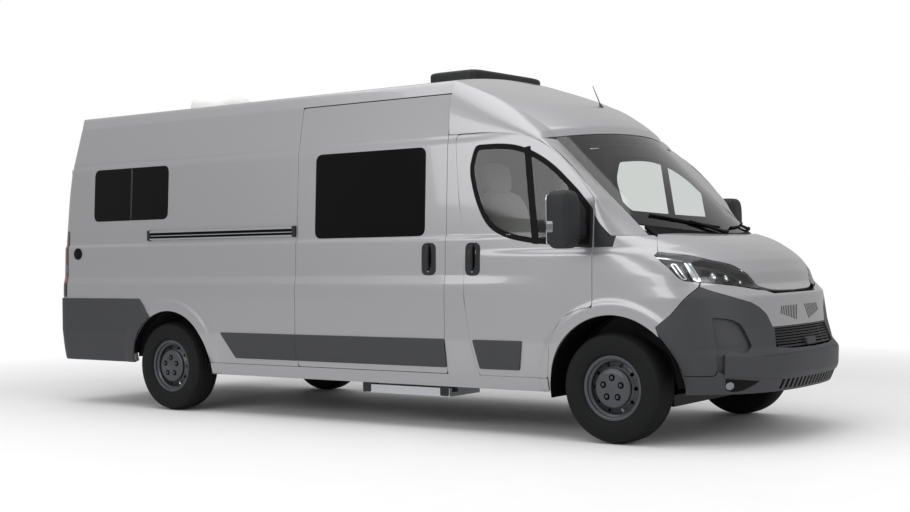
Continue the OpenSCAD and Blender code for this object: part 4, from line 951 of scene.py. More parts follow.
rear_window = rounded(back_rect(-690, -150, 1420, 1930, 2), 50, 7)
rear = panel("rear_door_skin_right", WALL, back_rect(-800, -3, 522, 2270), PAINTED, "rear_door_right", [rear_window],
             step=(24, 12), depth=DOOR_DEPTH, replaces=["rear_door_right"])
mirrored(rear, "rear_door_skin_left", "rear_door_left", ["rear_door_left"])
rear_pane = panel("rear_pane_right", WALL, shrunk(rear_window, 3), [BLACK_GLASS, RUBBER], "rear_door_right",
                  step=(30, 30), edge_r=1.5, depth=12, replaces=["rear_glass_right"])
mirrored(rear_pane, "rear_pane_left", "rear_door_left", ["rear_glass_left"])
head = panel("rear_header_right", WALL, back_rect(-806, 0, 2277, GUTTER - 1), PAINTED, "body", step=(24, 8), depth=30)
mirrored(head, "rear_header_left", "body")


# ---- Shapes for trim and wheels

def grid_faces(rows, cols, wrap_rows=False, wrap_cols=False):
    """Quads of a grid of rows by cols points, joined round where asked."""
    r = np.arange(rows if wrap_rows else rows - 1)
    c = np.arange(cols if wrap_cols else cols - 1)
    R, C = (a.ravel() for a in np.meshgrid(r, c, indexing="ij"))
    R2, C2 = (R + 1) % rows, (C + 1) % cols
    return np.stack([R * cols + C, R * cols + C2, R2 * cols + C2, R2 * cols + C], 1)


def joined(parts):
    """Several (points, faces) pairs as one."""
    starts = np.cumsum([0] + [len(v) for v, _ in parts[:-1]])
    faces = []
    for (_, some), start in zip(parts, starts):
        some = some.tolist() if isinstance(some, np.ndarray) else some
        faces += [tuple(i + start for i in f) for f in some]
    return np.concatenate([v for v, _ in parts]), faces


def lathe(profile, turns, place, hand=1):
    """A profile of (radius, across) turned about a line along Y through a place; hand -1 mirrors it across."""
    a = np.linspace(0, 2 * np.pi, turns, endpoint=False)[:, None]
    r, w = np.asarray(profile, float).T
    v = np.stack([r * np.cos(a), np.broadcast_to(w * hand, (turns, len(w))), r * np.sin(a)],
                 -1).reshape(-1, 3) + place
    f = grid_faces(turns, len(profile), wrap_rows=True)
    return v, f if hand > 0 else f[:, ::-1]


def tube(path, radius, sides=12):
    """A round bar along a path, its rings square to the path, with closed ends."""
    p = np.asarray(path, float)
    t = np.gradient(p, axis=0)
    t /= np.linalg.norm(t, axis=1, keepdims=True)
    up = np.where(np.abs(t[:, 2:3]) > 0.9, [[1.0, 0, 0]], [[0, 0, 1.0]])
    a = np.cross(t, up)
    a /= np.linalg.norm(a, axis=1, keepdims=True)
    b = np.cross(t, a)
    ang = np.linspace(0, 2 * np.pi, sides, endpoint=False)
    r = np.broadcast_to(np.asarray(radius, float), (len(p),))
    ring = p[:, None] + r[:, None,
                          None] * (np.cos(ang)[None, :, None] * a[:, None] + np.sin(ang)[None, :, None] * b[:, None])
    v = np.concatenate([ring.reshape(-1, 3), p[:1], p[-1:]])
    f = grid_faces(len(p), sides, wrap_cols=True).tolist()
    k = np.arange(sides)
    n = len(p) * sides
    f += np.stack([np.full(sides, n), np.roll(k, -1), k], 1).tolist()
    f += np.stack([np.full(sides, n + 1), n - sides + k, n - sides + np.roll(k, -1)], 1).tolist()
    return v, f


def pillow(low, high, power=5.0, n=28):
    """A box with round edges: a superellipsoid between two corners."""
    low, high = np.asarray(low, float), np.asarray(high, float)
    lat, lon = np.meshgrid(np.linspace(-np.pi / 2, np.pi / 2, n), np.linspace(0, 2 * np.pi, 2 * n, endpoint=False),
                           indexing="ij")
    root = lambda c: np.sign(c) * np.abs(c) ** (2 / power)
    unit = np.stack([root(np.cos(lat)) * root(np.cos(lon)), root(np.cos(lat)) * root(np.sin(lon)), root(np.sin(lat))],
                    -1)
    v = (low + high) / 2 + unit.reshape(-1, 3) * (high - low) / 2
    return v, grid_faces(n, 2 * n, wrap_cols=True)


def solid(name, part, mats, body, replaces=(), smooth=True):
    """A piece from a (points, faces) pair."""
    obj = piece(name, part[0], part[1], mats, body, smooth=smooth)
    if replaces:
        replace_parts(obj, *replaces)
    return obj


def box_part(low, high):
    """A plain box."""
    x, y, z = zip(low, high)
    v = np.array([[a, b, c] for a in x for b in y for c in z], float)
    return v, np.array([[0, 1, 3, 2], [4, 6, 7, 5], [0, 4, 5, 1], [2, 3, 7, 6], [0, 2, 6, 4], [1, 5, 7, 3]])


def sharp_edges(obj, degrees=35):
    """Shades a piece smooth except across edges sharper than an angle."""
    bpy.context.view_layer.objects.active = obj
    for o in bpy.context.selected_objects:
        o.select_set(False)
    obj.select_set(True)
    bpy.ops.object.shade_smooth_by_angle(angle=math.radians(degrees))


# ---- Wheels

def tyre_part(place):
    """Tyre: a cross-section turned round the axle.

    Round grooves between the ribs and angled sipes lower its radius; rim guard and rings are steps of the sidewall."""
    across = np.linspace(-1, 1, 57)
    radius = 350 - 13 * np.abs(across) ** 5
    half = 88.0
    groove = sum(np.exp(-((across * half - g) / 4.2) ** 4) for g in (-48, -17, 17, 48))
    ang = np.linspace(0, 2 * np.pi, 288, endpoint=False)[:, None]
    pitch = (ang * 72 / (2 * np.pi) + np.abs(across) * 2.2) % 1
    sipe = (pitch < 0.22) * (np.abs(across) > 0.62)
    r = radius - 7 * groove - 4.5 * sipe
    tread = np.stack([r * np.cos(ang), np.broadcast_to(across * half, r.shape), r * np.sin(ang)], -1)
    wall = np.array([[337, 94], [326, 103], [312, 108.5], [306, 108], [302, 109.5], [282, 112], [262, 112.3],
                     [258, 110.8], [252, 112], [232, 108], [222, 104], [214, 99], [209, 92], [206, 84], [198, 80]])
    side = lambda s: np.stack([wall[:, 0] * np.cos(ang), np.broadcast_to(s * wall[:, 1], (len(ang), len(wall))),
                               wall[:, 0] * np.sin(ang)], -1)
    rows = np.concatenate([side(-1)[:, ::-1], tread, side(1)], 1)
    v = rows.reshape(-1, 3) + place
    return v, grid_faces(rows.shape[0], rows.shape[1], wrap_rows=True)


def wheel(name, place, hand):
    """Dress of one wheel: tyre, bright rim edge, hub cap and five nuts; hand is the outer side's sign along Y."""
    body = "wheel_" + name
    tyre_node = "tyre_" + name
    solid("tyre_tread_" + name, tyre_part(place), TYRE, body, [tyre_node])
    lip = lathe([[184, 80], [186, 85.5], [192, 88], [204, 88.5], [207, 87], [207, 85.2]], 96, place, hand)
    solid("rim_flange_" + name, lip, STEEL, body)
    plate = lathe([[0.1, 93], [20, 92.6], [28, 90.5], [92, 88], [104, 86.5], [108, 84.5], [116, 84.5], [121, 83],
                   [126, 76]], 72, place, hand)
    solid("wheel_centre_plate_" + name, plate, STEEL, body)
    spots = [np.asarray(place) + [66 * math.cos(t), 0, 66 * math.sin(t)] for t in np.radians(np.arange(5) * 72 + 90)]
    # Near-black discs of painted shade stand for the recessed nut wells
    solid("wheel_nut_wells_" + name,
          joined([lathe([[0.1, 91.2], [20, 91.2], [22.5, 88]], 24, p, hand) for p in spots]), VOID, body)
    solid("wheel_nuts_" + name,
          joined([lathe([[0.1, 98], [8, 97.4], [11, 95], [12, 90]], 6, p, hand) for p in spots]), STEEL, body,
          smooth=False)


for name in ("front_right", "front_left", "rear_right", "rear_left"):
    wheel(name, centre("tyre_" + name), 1 if name.endswith("left") else -1)
for n in ("rim_front_left", "rim_front_right", "rim_rear_left", "rim_rear_right", "knuckle_left", "knuckle_right",
          "rear_axle", "exhaust", "steering_wheel", "dashboard", "entry_step", "tanks"):
    sharp_edges(frame["nodes"][n], 30)


def arch_shade_sheet(name, x, radius, first, last, outside, inside_y):
    """Painted shade inside a wheel arch: a near-black strip of a cylinder about the axle between two angles, facing
    the wheel.
    """
    a = np.radians(np.linspace(first, last, 48))[:, None]
    y = np.linspace(-outside, -inside_y, 6)[None]
    v = np.stack(np.broadcast_arrays(x + radius * np.cos(a), y, ARCH_Z + radius * np.sin(a)), -1).reshape(-1, 3)
    f = grid_faces(48, 6)
    both_faces = solid(name + "_right", (v, f), VOID, "body")
    mirrored(both_faces, name + "_left", "body")


# Near-black sheets of painted shade inside the rear and front arches
arch_shade_sheet("arch_shade_sheet_rear", REAR_ARCH_X, REAR_ARCH_R - 2.5, 168, 5, 1022, 950)
arch_shade_sheet("arch_shade_sheet_front", FRONT_ARCH_X, FRONT_ARCH_R - 2.5, 190, 2, 1004, 700)

# ---- Side trim

WALL_OUT = off_skin(WALL, 10)
CAB_OUT = off_skin(CAB, 10)
STRIP = [[REAR_X + 612, STRIP_TOP], [REAR_X + 752, STRIP_LOW], [SLIDE_REAR - 6, STRIP_LOW],
         [SLIDE_REAR - 6, STRIP_TOP]]
strips = [thin(WALL_OUT, wall_uv(rounded(s, 8, 4)), (40, 12), 4, 12) for s in
          (STRIP, [[SLIDE_REAR + 2, STRIP_TOP], [SLIDE_REAR + 2, STRIP_LOW], [B_POST - 8, STRIP_LOW],
                   [B_POST - 8, STRIP_TOP]])]


def sheets(name, parts, mats, body, replaces=()):
    """Several trimmed sheets as one piece."""
    starts = np.cumsum([0] + [len(p[0]) for p in parts[:-1]])
    points, normals, slots = (np.concatenate([p[k] for p in parts]) for k in (0, 1, 3))
    faces = np.concatenate([p[2] + start for p, start in zip(parts, starts)])
    obj = piece(name, points, faces, mats, body, normals, slots)
    if replaces:
        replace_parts(obj, *replaces)
    return obj


sheets("rub_strips_right", strips, [PLASTIC, PLASTIC], "body", ["side_trim"])
LEFT_STRIP = [STRIP[0], STRIP[1], [B_POST - 8, STRIP_LOW], [B_POST - 8, STRIP_TOP]]
left_strip = thin(WALL_OUT, wall_uv(rounded(LEFT_STRIP, 8, 4)), (40, 12), 4, 12)
right_twin = sheets("tmp", [left_strip], [PLASTIC, PLASTIC], "body")
mirrored(right_twin, "rub_strip_left", "body")
bpy.data.objects.remove(right_twin)
DOOR_STRIP = rounded([[-1000, STRIP_LOW], [-1040, STRIP_TOP], [-657, STRIP_TOP], [-690, STRIP_LOW]], 8, 4)
door_strip = panel("door_strip_right", CAB_OUT, from_axle(DOOR_STRIP), [PLASTIC, PLASTIC], "cab_door_right",
                   step=(24, 12), edge_r=4, depth=12, lining=False)
mirrored(door_strip, "door_strip_left", "cab_door_left")


def handle(name, skin, x0, z0, body, flat):
    """Door handle: a dished oval plate, a grip standing over it and a lock barrel."""
    loop = flat(rect(x0, x0 + 110, z0, z0 + 212, 40))
    plate = thin(off_skin(skin, 6), loop, (14, 14), 5, 8)
    dish = thin(off_skin(skin, 6.6), flat(rect(x0 + 26, x0 + 84, z0 + 46, z0 + 196, 26)), (14, 14), 0.6, 1)
    p = sheets(name + "_plate", [plate], [HOUSING, HOUSING], body)
    d = sheets(name + "_dish", [dish], [PIANO, PIANO], body)
    q, n = skin.at(flat([[x0 + 55, z0 + 30], [x0 + 55, z0 + 205]]))
    t = np.linspace(0, 1, 24)[:, None]
    line = q[0] * (1 - t) + q[1] * t + n[0] * (8 + 12 * np.sin(np.pi * np.clip(t, 0, 1)) ** 0.5)
    g = solid(name + "_grip", tube(line, 9 + 5 * np.sin(np.pi * t[:, 0]) ** 0.4, 16), HOUSING, body)
    c, m = skin.at(flat([[x0 + 55, z0 + 24]]))
    lock = solid(name + "_lock", tube(c[0] + m[0] * np.array([[5.0], [10.0]]), 9, 20), BARE, body)
    return p, d, g, lock


handle("slide_handle", WALL, FRONT_X - 1473, 1068, "body", wall_uv)
for o in handle("cab_handle_right", CAB, FRONT_X - 1103, 1064, "cab_door_right", np.asarray):
    mirrored(o, o.name.replace("right", "left"), "cab_door_left")


def cap_uv(radius):
    """Round outline of the hook-up cap."""
    return wall_uv(arc(REAR_X - 1097, 1255, radius, 0, 345, 24))


cap_base = thin(off_skin(WALL, 9), cap_uv(44), (12, 12), 4, 9)
cap_top = thin(off_skin(WALL, 12), cap_uv(30), (12, 12), 2, 4)
sheets("hook_up_cap", [cap_base, cap_top], [RUBBER, RUBBER], "body")

# Rail of the sliding door: two bright flanges and a web in a channel of painted shade (a near-black box), with end
# caps
rail_x = np.array([REAR_X - 216, SLIDE_REAR - 14])
rail_y = -(half_width(1390.0) + 2)
RAIL_LOW, RAIL_TOP = 1356, 1428
rail = [box_part([rail_x[0], rail_y - d, z0], [rail_x[1], rail_y + 4, z1])
        for d, z0, z1 in ((14, RAIL_LOW, 1367), (9, 1385, 1391), (14, 1412, RAIL_TOP))]
solid("slide_rail", joined(rail), ALU, "body", smooth=False)
# Near-black box behind the flanges: painted shade in the rail's channel
solid("slide_rail_channel", box_part([rail_x[0], rail_y - 3, RAIL_LOW], [rail_x[1], rail_y + 4, RAIL_TOP]), VOID,
      "body", smooth=False)
rail_caps = [pillow([x - back, rail_y - 17, RAIL_LOW - 6], [x + 8, rail_y + 6, RAIL_TOP + 6], 8, 12)
             for x, back in zip(rail_x, (22, 26))]
solid("slide_rail_caps", joined(rail_caps), HOUSING, "body")

# Rear bumper wrapped round the corners, with its step pad
BUMP = off_skin(WALL, 12)
arch_back = arc(REAR_ARCH_X, ARCH_Z, REAR_ARCH_R + 1, 119, 175, 24)
z_high = np.linspace(505, CLAD_TOP, 20)
step_uv = np.array([[back_u(-1.0, CLAD_LOW), CLAD_LOW], [back_u(-1.0, 498.0), 498.0], [back_u(-838.0, 498.0), 498.0]])
bump_uv = np.concatenate([wall_uv(arch_back), wall_uv([[REAR_X - 404, CLAD_LOW]]), step_uv,
                          np.stack([back_u(-838.0, z_high), z_high], 1), wall_uv([[REAR_X - 319, CLAD_TOP]])])
bump = panel("rear_bumper_skin", BUMP, bump_uv, [PLASTIC, CHASSIS], "body", step=(24, 12), edge_r=5, depth=14,
             replaces=["rear_bumper"])
mirrored(bump, "rear_bumper_skin_left", "body")
solid("rear_floor_closer", box_part([REAR_END + 45, -835, 432], [REAR_END + 240, 835, 506]), CHASSIS, "body",
      smooth=False)
solid("rear_step_pad", pillow([REAR_END, -798, 426], [REAR_END + 60, 798, 494], 14, 24), PLASTIC, "body")


# ---- Front details

def front_loop(points, step=15.0):
    """Nose parameters of a closed outline given by y and z at the front."""
    return NOSE.find(divided(points, step), [1, 2])


def both(obj, name, body="body"):
    """Keeps a right-hand piece and adds its left-hand twin."""
    return mirrored(obj, name, body)


def groove(points, width=5.0, axes=(0, 2)):
    """A thin dark joint line on the nose along a polyline."""
    p = np.asarray(points, float)
    t = np.gradient(p, axis=0)
    n = np.stack([-t[:, 1], t[:, 0]], 1) / np.linalg.norm(t, axis=1, keepdims=True)
    loop = np.concatenate([p + n * width / 2, (p - n * width / 2)[::-1]])
    if axes[0] == 0:
        loop = from_axle(loop)
    return thin(NOSE_LINE, NOSE.find(loop, list(axes), right=True), (20, 10), 0.2, 0.6)


NOSE_LINE = off_skin(NOSE, 0.5)
NOSE_IN = off_skin(NOSE, -9)
NOSE_DEEP = off_skin(NOSE, -24)

# Joint lines and recess edges of the bumper corner; the dark lines along the recess edges are painted shade
lines = [groove(spline(c, 12), w) for c, w in (([[470, 440], [560, 437], [625, 438]], 5),
                                               ([[625, 438], [640, 448], [647, 471]], 5),
                                               ([[335, 690], [420, 560], [462, 470]], 3))]
both(sheets("bumper_joint_lines", lines, [RUBBER, RUBBER], "body"), "bumper_joint_lines_left")

# Bar that stands proud across the bumper
bar_top = open_line([[-816, 567], [-771, 579], [-715, 561], [-591, 540], [-452, 543], [-123, 555], [-1, 557]], 20)
bar_low = open_line([[-809, 432], [-731, 435], [-600, 424], [-415, 404], [-1, 404]], 20)
bar_right = np.concatenate([NOSE.find(bar_low[::-1], [1, 2], right=True), NOSE.find(bar_top, [1, 2], right=True)])
bar_uv = np.concatenate([bar_right, (bar_right * [-1, 1])[::-1]])
panel("bumper_bar", off_skin(NOSE, 9), bar_uv, [PLASTIC, PLASTIC], "body", step=(18, 9), edge_r=5, depth=32,
      lining=False)

# Lower grille: bars, uprights and number-plate bracket
bars = [thin(NOSE_IN, front_loop(rect(-425, 425, z, z + 7)), (30, 6), 2, 14)
        for z in np.linspace(598, 700, 7)]
posts = [thin(NOSE_DEEP, front_loop(rect(y - 4, y + 4, 590, 708)), (12, 12), 1, 10)
         for y in (-300, -150, 0, 150, 300)]
sheets("grille_bars", bars, [HOUSING, HOUSING], "body")
sheets("grille_posts", posts, [PIANO, PIANO], "body")
nose_tip = FRONT_X + 905.0
solid("plate_bracket", pillow([nose_tip - 30, -70, 588], [nose_tip + 6, 70, 640], 10, 16), PLASTIC, "body")

# Slanted slots of the painted panel, and the slot under the bonnet: near-black sheets of painted shade where the
# openings are


def slanted_slot(i, hand):
    """One slot of the row, a near-black sheet of painted shade: number i counted outwards, each a little shorter than
    the last.
    """
    y, low = -66 - 24.0 * i, 752 + 5 * i
    loop = np.array([[y - 44 + 2 * i, low], [y - 35 + 2 * i, low], [y + 9, 846], [y, 846]]) * [hand, 1]
    return thin(NOSE_LINE, front_loop(loop), (10, 20), 0.2, 0.6)


slots = [slanted_slot(i, hand) for hand in (1, -1) for i in range(10)]
sheets("panel_slots", slots, [VOID, VOID], "body")
# The slot under the bonnet: a near-black sheet of painted shade
lip = np.concatenate([np.stack([np.linspace(-395, 395, 40), 958 - 8 * (np.linspace(-1, 1, 40)) ** 2], 1),
                      np.stack([np.linspace(340, -340, 40), np.full(40, 922.0)], 1)])
sheets("bonnet_slot", [thin(off_skin(NOSE, -14), NOSE.find(lip, [1, 2]), (30, 10), 0.5, 4)], [VOID, VOID], "body")

# Valance slots and fog lamps
# Valance slots: near-black sheets of painted shade where the openings are
valance = [thin(NOSE_LINE, front_loop([[y - 12, 336], [y + 12, 336], [y + 18, 396], [y - 6, 396]]), (12, 20), 0.2,
                0.6)
           for y in np.arange(-420, 421, 52.0)]
sheets("valance_slots", valance, [VOID, VOID], "body")
fog_at, fog_n = NOSE.at(on_nose([[696, 374], [697, 374]]))
# The pocket round the fog lamp is a flat near-black sheet: painted shade of the pocket
fog_edge = np.concatenate([spline([[672, 352], [700, 336], [750, 346], [800, 378]], 20),
                           [[822, 398], [760, 412], [684, 420], [672, 352]]])
fog_sheet = thin(NOSE_LINE, on_nose(fog_edge)[:-1], (15, 10), 0.3, 0.8)
fog_ring = sheets("fog_recess_right", [fog_sheet], [RUBBER, RUBBER], "body")
both(fog_ring, "fog_recess_left")
fog = solid("fog_lamp_right", tube(fog_at[0] + fog_n[0] * np.array([[-10.0], [0.0], [3.0], [4.0]]), [27, 27, 25, 18],
                                   32), FOG, "body")
both(fog, "fog_lamp_left")

# Headlamp inside: bright slanted light guides, a reflector and a projector behind the clear cover
LAMP_MID = off_skin(NOSE, -22)
guides = [(([372, 1136], [400, 1141], [486, 1032], [458, 1032]), 7),
          (([434, 1150], [462, 1152], [556, 1020], [522, 1022]), 8)]


def lamp_uv(loop):
    """Nose parameters of a closed outline given from the front axle by x and z, on the right-hand side."""
    return NOSE.find(from_axle(loop), [0, 2], right=True)


frames = []
for loop, wide in guides:
    ring = rounded(loop, 14, 4)
    frames.append(sheet_mesh(LAMP_MID, lamp_uv(ring), [lamp_uv(shrunk(ring, wide))], (10, 10), 1, 3, 12, False))
BROW = rounded([[282, 1180], [330, 1176], [428, 1161], [426, 1154], [330, 1168], [284, 1173]], 3, 3)
brow = thin(LAMP_MID, lamp_uv(BROW), (10, 10), 2, 8)
guide = sheets("headlamp_guides_right", frames + [brow], [CHROME, CHROME], "body")
both(guide, "headlamp_guides_left")
fill_uv = lamp_uv(shrunk(rounded(guides[1][0], 14, 4), 8))
fill_sheet = thin(off_skin(NOSE, -26), fill_uv, (10, 10), 0.5, 3)
fill = sheets("headlamp_light_bar_right", [fill_sheet], [WHITE, WHITE], "body")
both(fill, "headlamp_light_bar_left")
spots = []
for x, z, r in ((600, 1062, 30), (650, 1040, 26), (694, 1010, 19)):
    c, n = NOSE.at(on_nose([[x, z], [x + 1, z]]))
    spots.append(tube(c[0] + n[0] * np.array([[-44.0], [-34.0], [-27.0], [-24.0]]), [r, r, r * 0.8, r * 0.4], 24))
both(solid("headlamp_projectors_right", joined(spots), CHROME, "body"), "headlamp_projectors_left")


# ---- Mirrors, sail panels, glass dividers and wipers

mirror_low, mirror_high = np.array([FRONT_X - 304, -1284, 1229]), np.array([FRONT_X - 134, -1093, 1592])
shell = pillow(mirror_low, mirror_high, 4.5, 36)
back = shell[0][:, 0] < FRONT_X - 250
shell[0][:, 0] = np.where(back, FRONT_X - 250 + (shell[0][:, 0] - FRONT_X + 250) * 0.9, shell[0][:, 0])
mirror_shell = solid("mirror_shell_right", shell, HOUSING, "cab_door_right", ["cab_trim_right"])
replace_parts(both(mirror_shell, "mirror_shell_left", "cab_door_left"), "cab_trim_left")
glass_top = pillow([FRONT_X - 301, -1262, 1370], [FRONT_X - 292, -1116, 1568], 9, 16)
glass_low = pillow([FRONT_X - 301, -1262, 1256], [FRONT_X - 292, -1116, 1358], 9, 16)
both(solid("mirror_glass_right", joined([glass_top, glass_low]), CHROME, "cab_door_right"),
     "mirror_glass_left", "cab_door_left")
both(solid("mirror_arm_right", pillow([FRONT_X - 246, -1110, 1296], [FRONT_X - 168, -962, 1398], 4, 20), HOUSING,
           "cab_door_right"), "mirror_arm_left", "cab_door_left")
both(solid("mirror_lamp_right", pillow([FRONT_X - 286, -1290, 1330], [FRONT_X - 232, -1240, 1404], 5, 16), FOG,
           "cab_door_right"), "mirror_lamp_left", "cab_door_left")
sail_loop = rounded([[-134, 1232], [-134, 1478], [-246, 1604], [-330, 1684], [-262, 1240]], 12, 4)
both(panel("sail_right", off_skin(CAB, 0.8), from_axle(sail_loop), [HOUSING, HOUSING], "cab_door_right",
           step=(16, 16), edge_r=1.5, depth=10), "sail_left", "cab_door_left")
bar_loop = [[-658, 1898], [-612, 1906], [-530, 1262], [-580, 1266]]
both(panel("glass_divider_right", off_skin(CAB, 1.4), from_axle(bar_loop), [RUBBER, RUBBER], "cab_door_right",
           step=(16, 16), edge_r=1.5, depth=12), "glass_divider_left", "cab_door_left")
foot = panel("pillar_foot_trim_right", off_skin(PILLAR, 1.5),
             rounded([[0.6, 1294], [34, 1294], [0.6, 1440]], [2, 6, 2], 4), [HOUSING, HOUSING], "body", step=(4, 8),
             edge_r=1, depth=3, lining=False)
both(foot, "pillar_foot_trim_left")
trim_uv = on_nose([[-120, 1236], [8, 1236], [16, 1304], [-120, 1304], [-120, 1236]])[:-1]
trim_sheet = thin(off_skin(NOSE, 1.5), trim_uv, (16, 8), 1, 3)
low_trim = sheets("wing_top_trim_right", [trim_sheet], [HOUSING, HOUSING], "body")
both(low_trim, "wing_top_trim_left")


def on_screen(points, lift=9.0):
    """Points above the windscreen by y and share of its height."""
    p, n = SCREEN_SKIN.at(np.asarray(points, float))
    return p + n * lift


wipers = []
WIPERS = [((-90, -2), (-120, 5), (-640, 12), (-380, 8.6)), ((500, -2), (520, 7), (30, 5), (270, 6.2))]
for pivot, inner_end, outer_end, mid in WIPERS:
    wipers.append(tube(on_screen(np.linspace(inner_end, outer_end, 20), 9), 7, 8))
    wipers.append(tube(on_screen(np.linspace(pivot, mid, 16), 15), np.linspace(13, 8, 16), 8))
solid("wipers", joined(wipers), RUBBER, "body")

# ---- Roof units and aerial
solid("roof_vent_cover", pillow([REAR_X - 598, -248, ROOF_Z - 140], [REAR_X - 172, 248, ROOF_Z + 112], 3.2, 32),
      WHITE, "body", ["roof_vent"])
solid("roof_hood_cover", pillow([FRONT_X - 1824, -467, CROWN - 90], [FRONT_X - 1394, 467, ROOF_Z + 38], 9, 40),
      HOUSING, "body", ["roof_hood"])
aerial = np.array([[FRONT_X - 622, 0, 2222], [FRONT_X - 628, 0, 2240], [FRONT_X - 636, 0, 2260],
                   [FRONT_X - 690, 0, 2384]])
solid("aerial", tube(aerial, [16, 11, 4, 2.5], 12), PLASTIC, "body")

# ---- Back of the van
hinges, leaves = [], []
for z in (760, 1300, 1950):
    back = REAR_END + lean(np.array([float(z)]))[0]
    hinges.append(tube([[REAR_END + 15, -803, z - 34], [REAR_END + 15, -803, z + 34]], 9, 16))
    hinges.append(pillow([REAR_END + 8, -834, z - 30], [back + 20, -806, z + 30], 8, 10))
    leaves.append(pillow([REAR_END + 25, -793, z - 30], [max(back + 12, REAR_END + 36), -756, z + 30], 8, 10))
both(solid("rear_hinges_right", joined(hinges), PAINT, "body"), "rear_hinges_left")
both(solid("rear_hinge_leaves_right", joined(leaves), PAINT, "rear_door_right"), "rear_hinge_leaves_left",
     "rear_door_left")
face = REAR_END + lean(np.array([1090.0]))[0]
solid("rear_handle",
      joined([pillow([face - 14, -150, 1050], [face + 8, -40, 1130], 5, 18),
              pillow([face - 22, -136, 1082], [face - 8, -54, 1104], 4, 14)]), PLASTIC, "rear_door_right")
face = REAR_END + lean(np.array([800.0]))[0]
solid("rear_plate_blank", pillow([face - 8, 150, 740], [face + 2, 670, 850], 16, 20), WHITE, "rear_door_left")
solid("plate_lamp", pillow([face - 16, 300, 862], [face + 6, 520, 892], 5, 16), PLASTIC, "rear_door_left")
face = REAR_END + lean(np.array([2293.0]))[0]
solid("high_brake_lamp", pillow([face - 6, -130, 2284], [face + 10, 130, 2303], 8, 20), RED, "body")
LAMP_FACE = off_skin(WALL, 0.8)


def lamp_band(z0, z1, mat, name):
    """A band of the tail lamp between two heights, a little proud of it."""
    z = np.linspace(z0, z1, 6)
    loop = np.concatenate([np.stack([lamp_uv_front(z) - 12, z], 1), np.stack([back_u(-838.0, z), z], 1)[::-1]])
    band = thin(LAMP_FACE, rounded(loop[[0, 5, 6, 11]], 10, 4), (12, 12), 1, 2)
    both(sheets(name + "_right", [band], [mat, mat], "body"), name + "_left")


def lamp_uv_front(z):
    """Wall parameter of the tail lamp's front edge at heights."""
    return wall_uv(np.stack([np.full(len(z), LAMP_FRONT), z], 1))[:, 0]


lamp_band(905, 1010, PIANO, "tail_lamp_foot")
lamp_band(1018, 1088, AMBER, "tail_lamp_turn")
lamp_band(1096, 1160, FOG, "tail_lamp_reverse")
lamp_band(1170, 1390, RED, "tail_lamp_stop")

# ---- Entry step ends
step_low, step_high = (np.array(c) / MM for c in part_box("entry_step"))
step_ends = [pillow([x, step_low[1] - 3, step_low[2] - 2], [x + 84, step_low[1] + 90, step_low[2] + 112], 9, 14)
             for x in (step_low[0] - 30, step_high[0] - 84)]
solid("step_ends", joined(step_ends), HOUSING, "body")


# ---- Cabin

def seat(side):
    """A cab seat: cushion, backrest with side bolsters and headrest as soft blocks on a pedestal."""
    y = 480.0 * side
    base = FRONT_X
    name = "left" if side > 0 else "right"

    def block(low, high, power, shear=0.0, n=40):
        """A soft block that leans back by a shear."""
        v, f = pillow(low, high, power, n)
        v[:, 0] -= shear * (v[:, 2] - low[2])
        return v, f

    cushion = block([base - 1118, y - 248, 798], [base - 602, y + 248, 935], 4.0)
    v = cushion[0]
    v[:, 2] += np.where(v[:, 2] > 880, 16 * ((v[:, 1] - y) / 250) ** 4 - 8, 0)
    rest = block([base - 1112, y - 245, 915], [base - 960, y + 245, 1640], 4.2, 0.19)
    v = rest[0]
    v[:, 0] += np.where(v[:, 0] > base - 1050 - 0.19 * (v[:, 2] - 915), 22 * ((v[:, 1] - y) / 250) ** 4 - 8, 0)
    head = block([base - 1246, y - 150, 1628], [base - 1146, y + 150, 1838], 3.6, 0.1)
    parts = [solid("seat_cushion_" + name, cushion, FABRIC, "body", ["seat_" + name]),
             solid("seat_back_" + name, rest, FABRIC, "body"),
             solid("headrest_" + name, head, FABRIC, "body")]
    solid("seat_base_" + name, box_part([base - 1078, y - 218, 548], [base - 642, y + 218, 798]), DASH, "body",
          smooth=False)
    posts = [tube([[base - 1196, y + s * 60, 1590], [base - 1204, y + s * 60, 1660]], 6, 10) for s in (-1, 1)]
    solid("headrest_posts_" + name, joined(posts), BARE, "body")


seat(-1)
seat(1)


# Inner lining of the living space behind the panels
WALL_IN = off_skin(WALL, -50)
z_in = np.linspace(552, 2396, 50)
over_arch = wall_uv(arc(REAR_ARCH_X, ARCH_Z, REAR_ARCH_R + 30, 154, 26, 40))
lining_front = wall_uv(np.stack([np.full(50, B_POST - 6), z_in], 1))
lining_back = np.stack([np.full(50, 60.0), z_in], 1)[::-1]
wall_sheet = sheet_mesh(WALL_IN, np.concatenate([lining_front, lining_back, over_arch]), [], (80, 40), 1, 0.5, 3,
                        True)
both(sheets("wall_lining_right", [wall_sheet], [LINING, LINING], "body"), "wall_lining_left")
roof_loop = rect(back_x + RIM + 20, B_POST - 6, -845, 845)
roof_sheet = sheet_mesh(off_skin(FIELD, -42), roof_loop, [], (120, 60), 1, 0.5, 3, True)
sheets("roof_lining", [roof_sheet], [LINING, LINING], "body")


# ---- Finishes of the CAD pieces that show

for nodes, finish in (
        (("floor", "wheel_boxes", "firewall", "front_subframe", "chassis_rails", "rear_axle", "tanks", "engine"),
         CHASSIS),
        (("knuckle_left", "knuckle_right", "exhaust"), BARE),
        (("tyre_front_left", "tyre_front_right", "tyre_rear_left", "tyre_rear_right"), TYRE),
        (("rim_front_left", "rim_front_right", "rim_rear_left", "rim_rear_right"), STEEL),
        (("cab_trim_left", "cab_trim_right", "rear_bumper", "side_trim"), PLASTIC), (("cowl",), RUBBER),
        (("dashboard", "steering_wheel"), DASH), (("seat_left", "seat_right"), FABRIC), (("entry_step",), ALU),
                      (("roof_vent",), WHITE)):
    for n in nodes:
        if n in frame["nodes"]:
            frame["nodes"][n].data.materials.clear()
            frame["nodes"][n].data.materials.append(finish)


# ---- Stage, camera and light

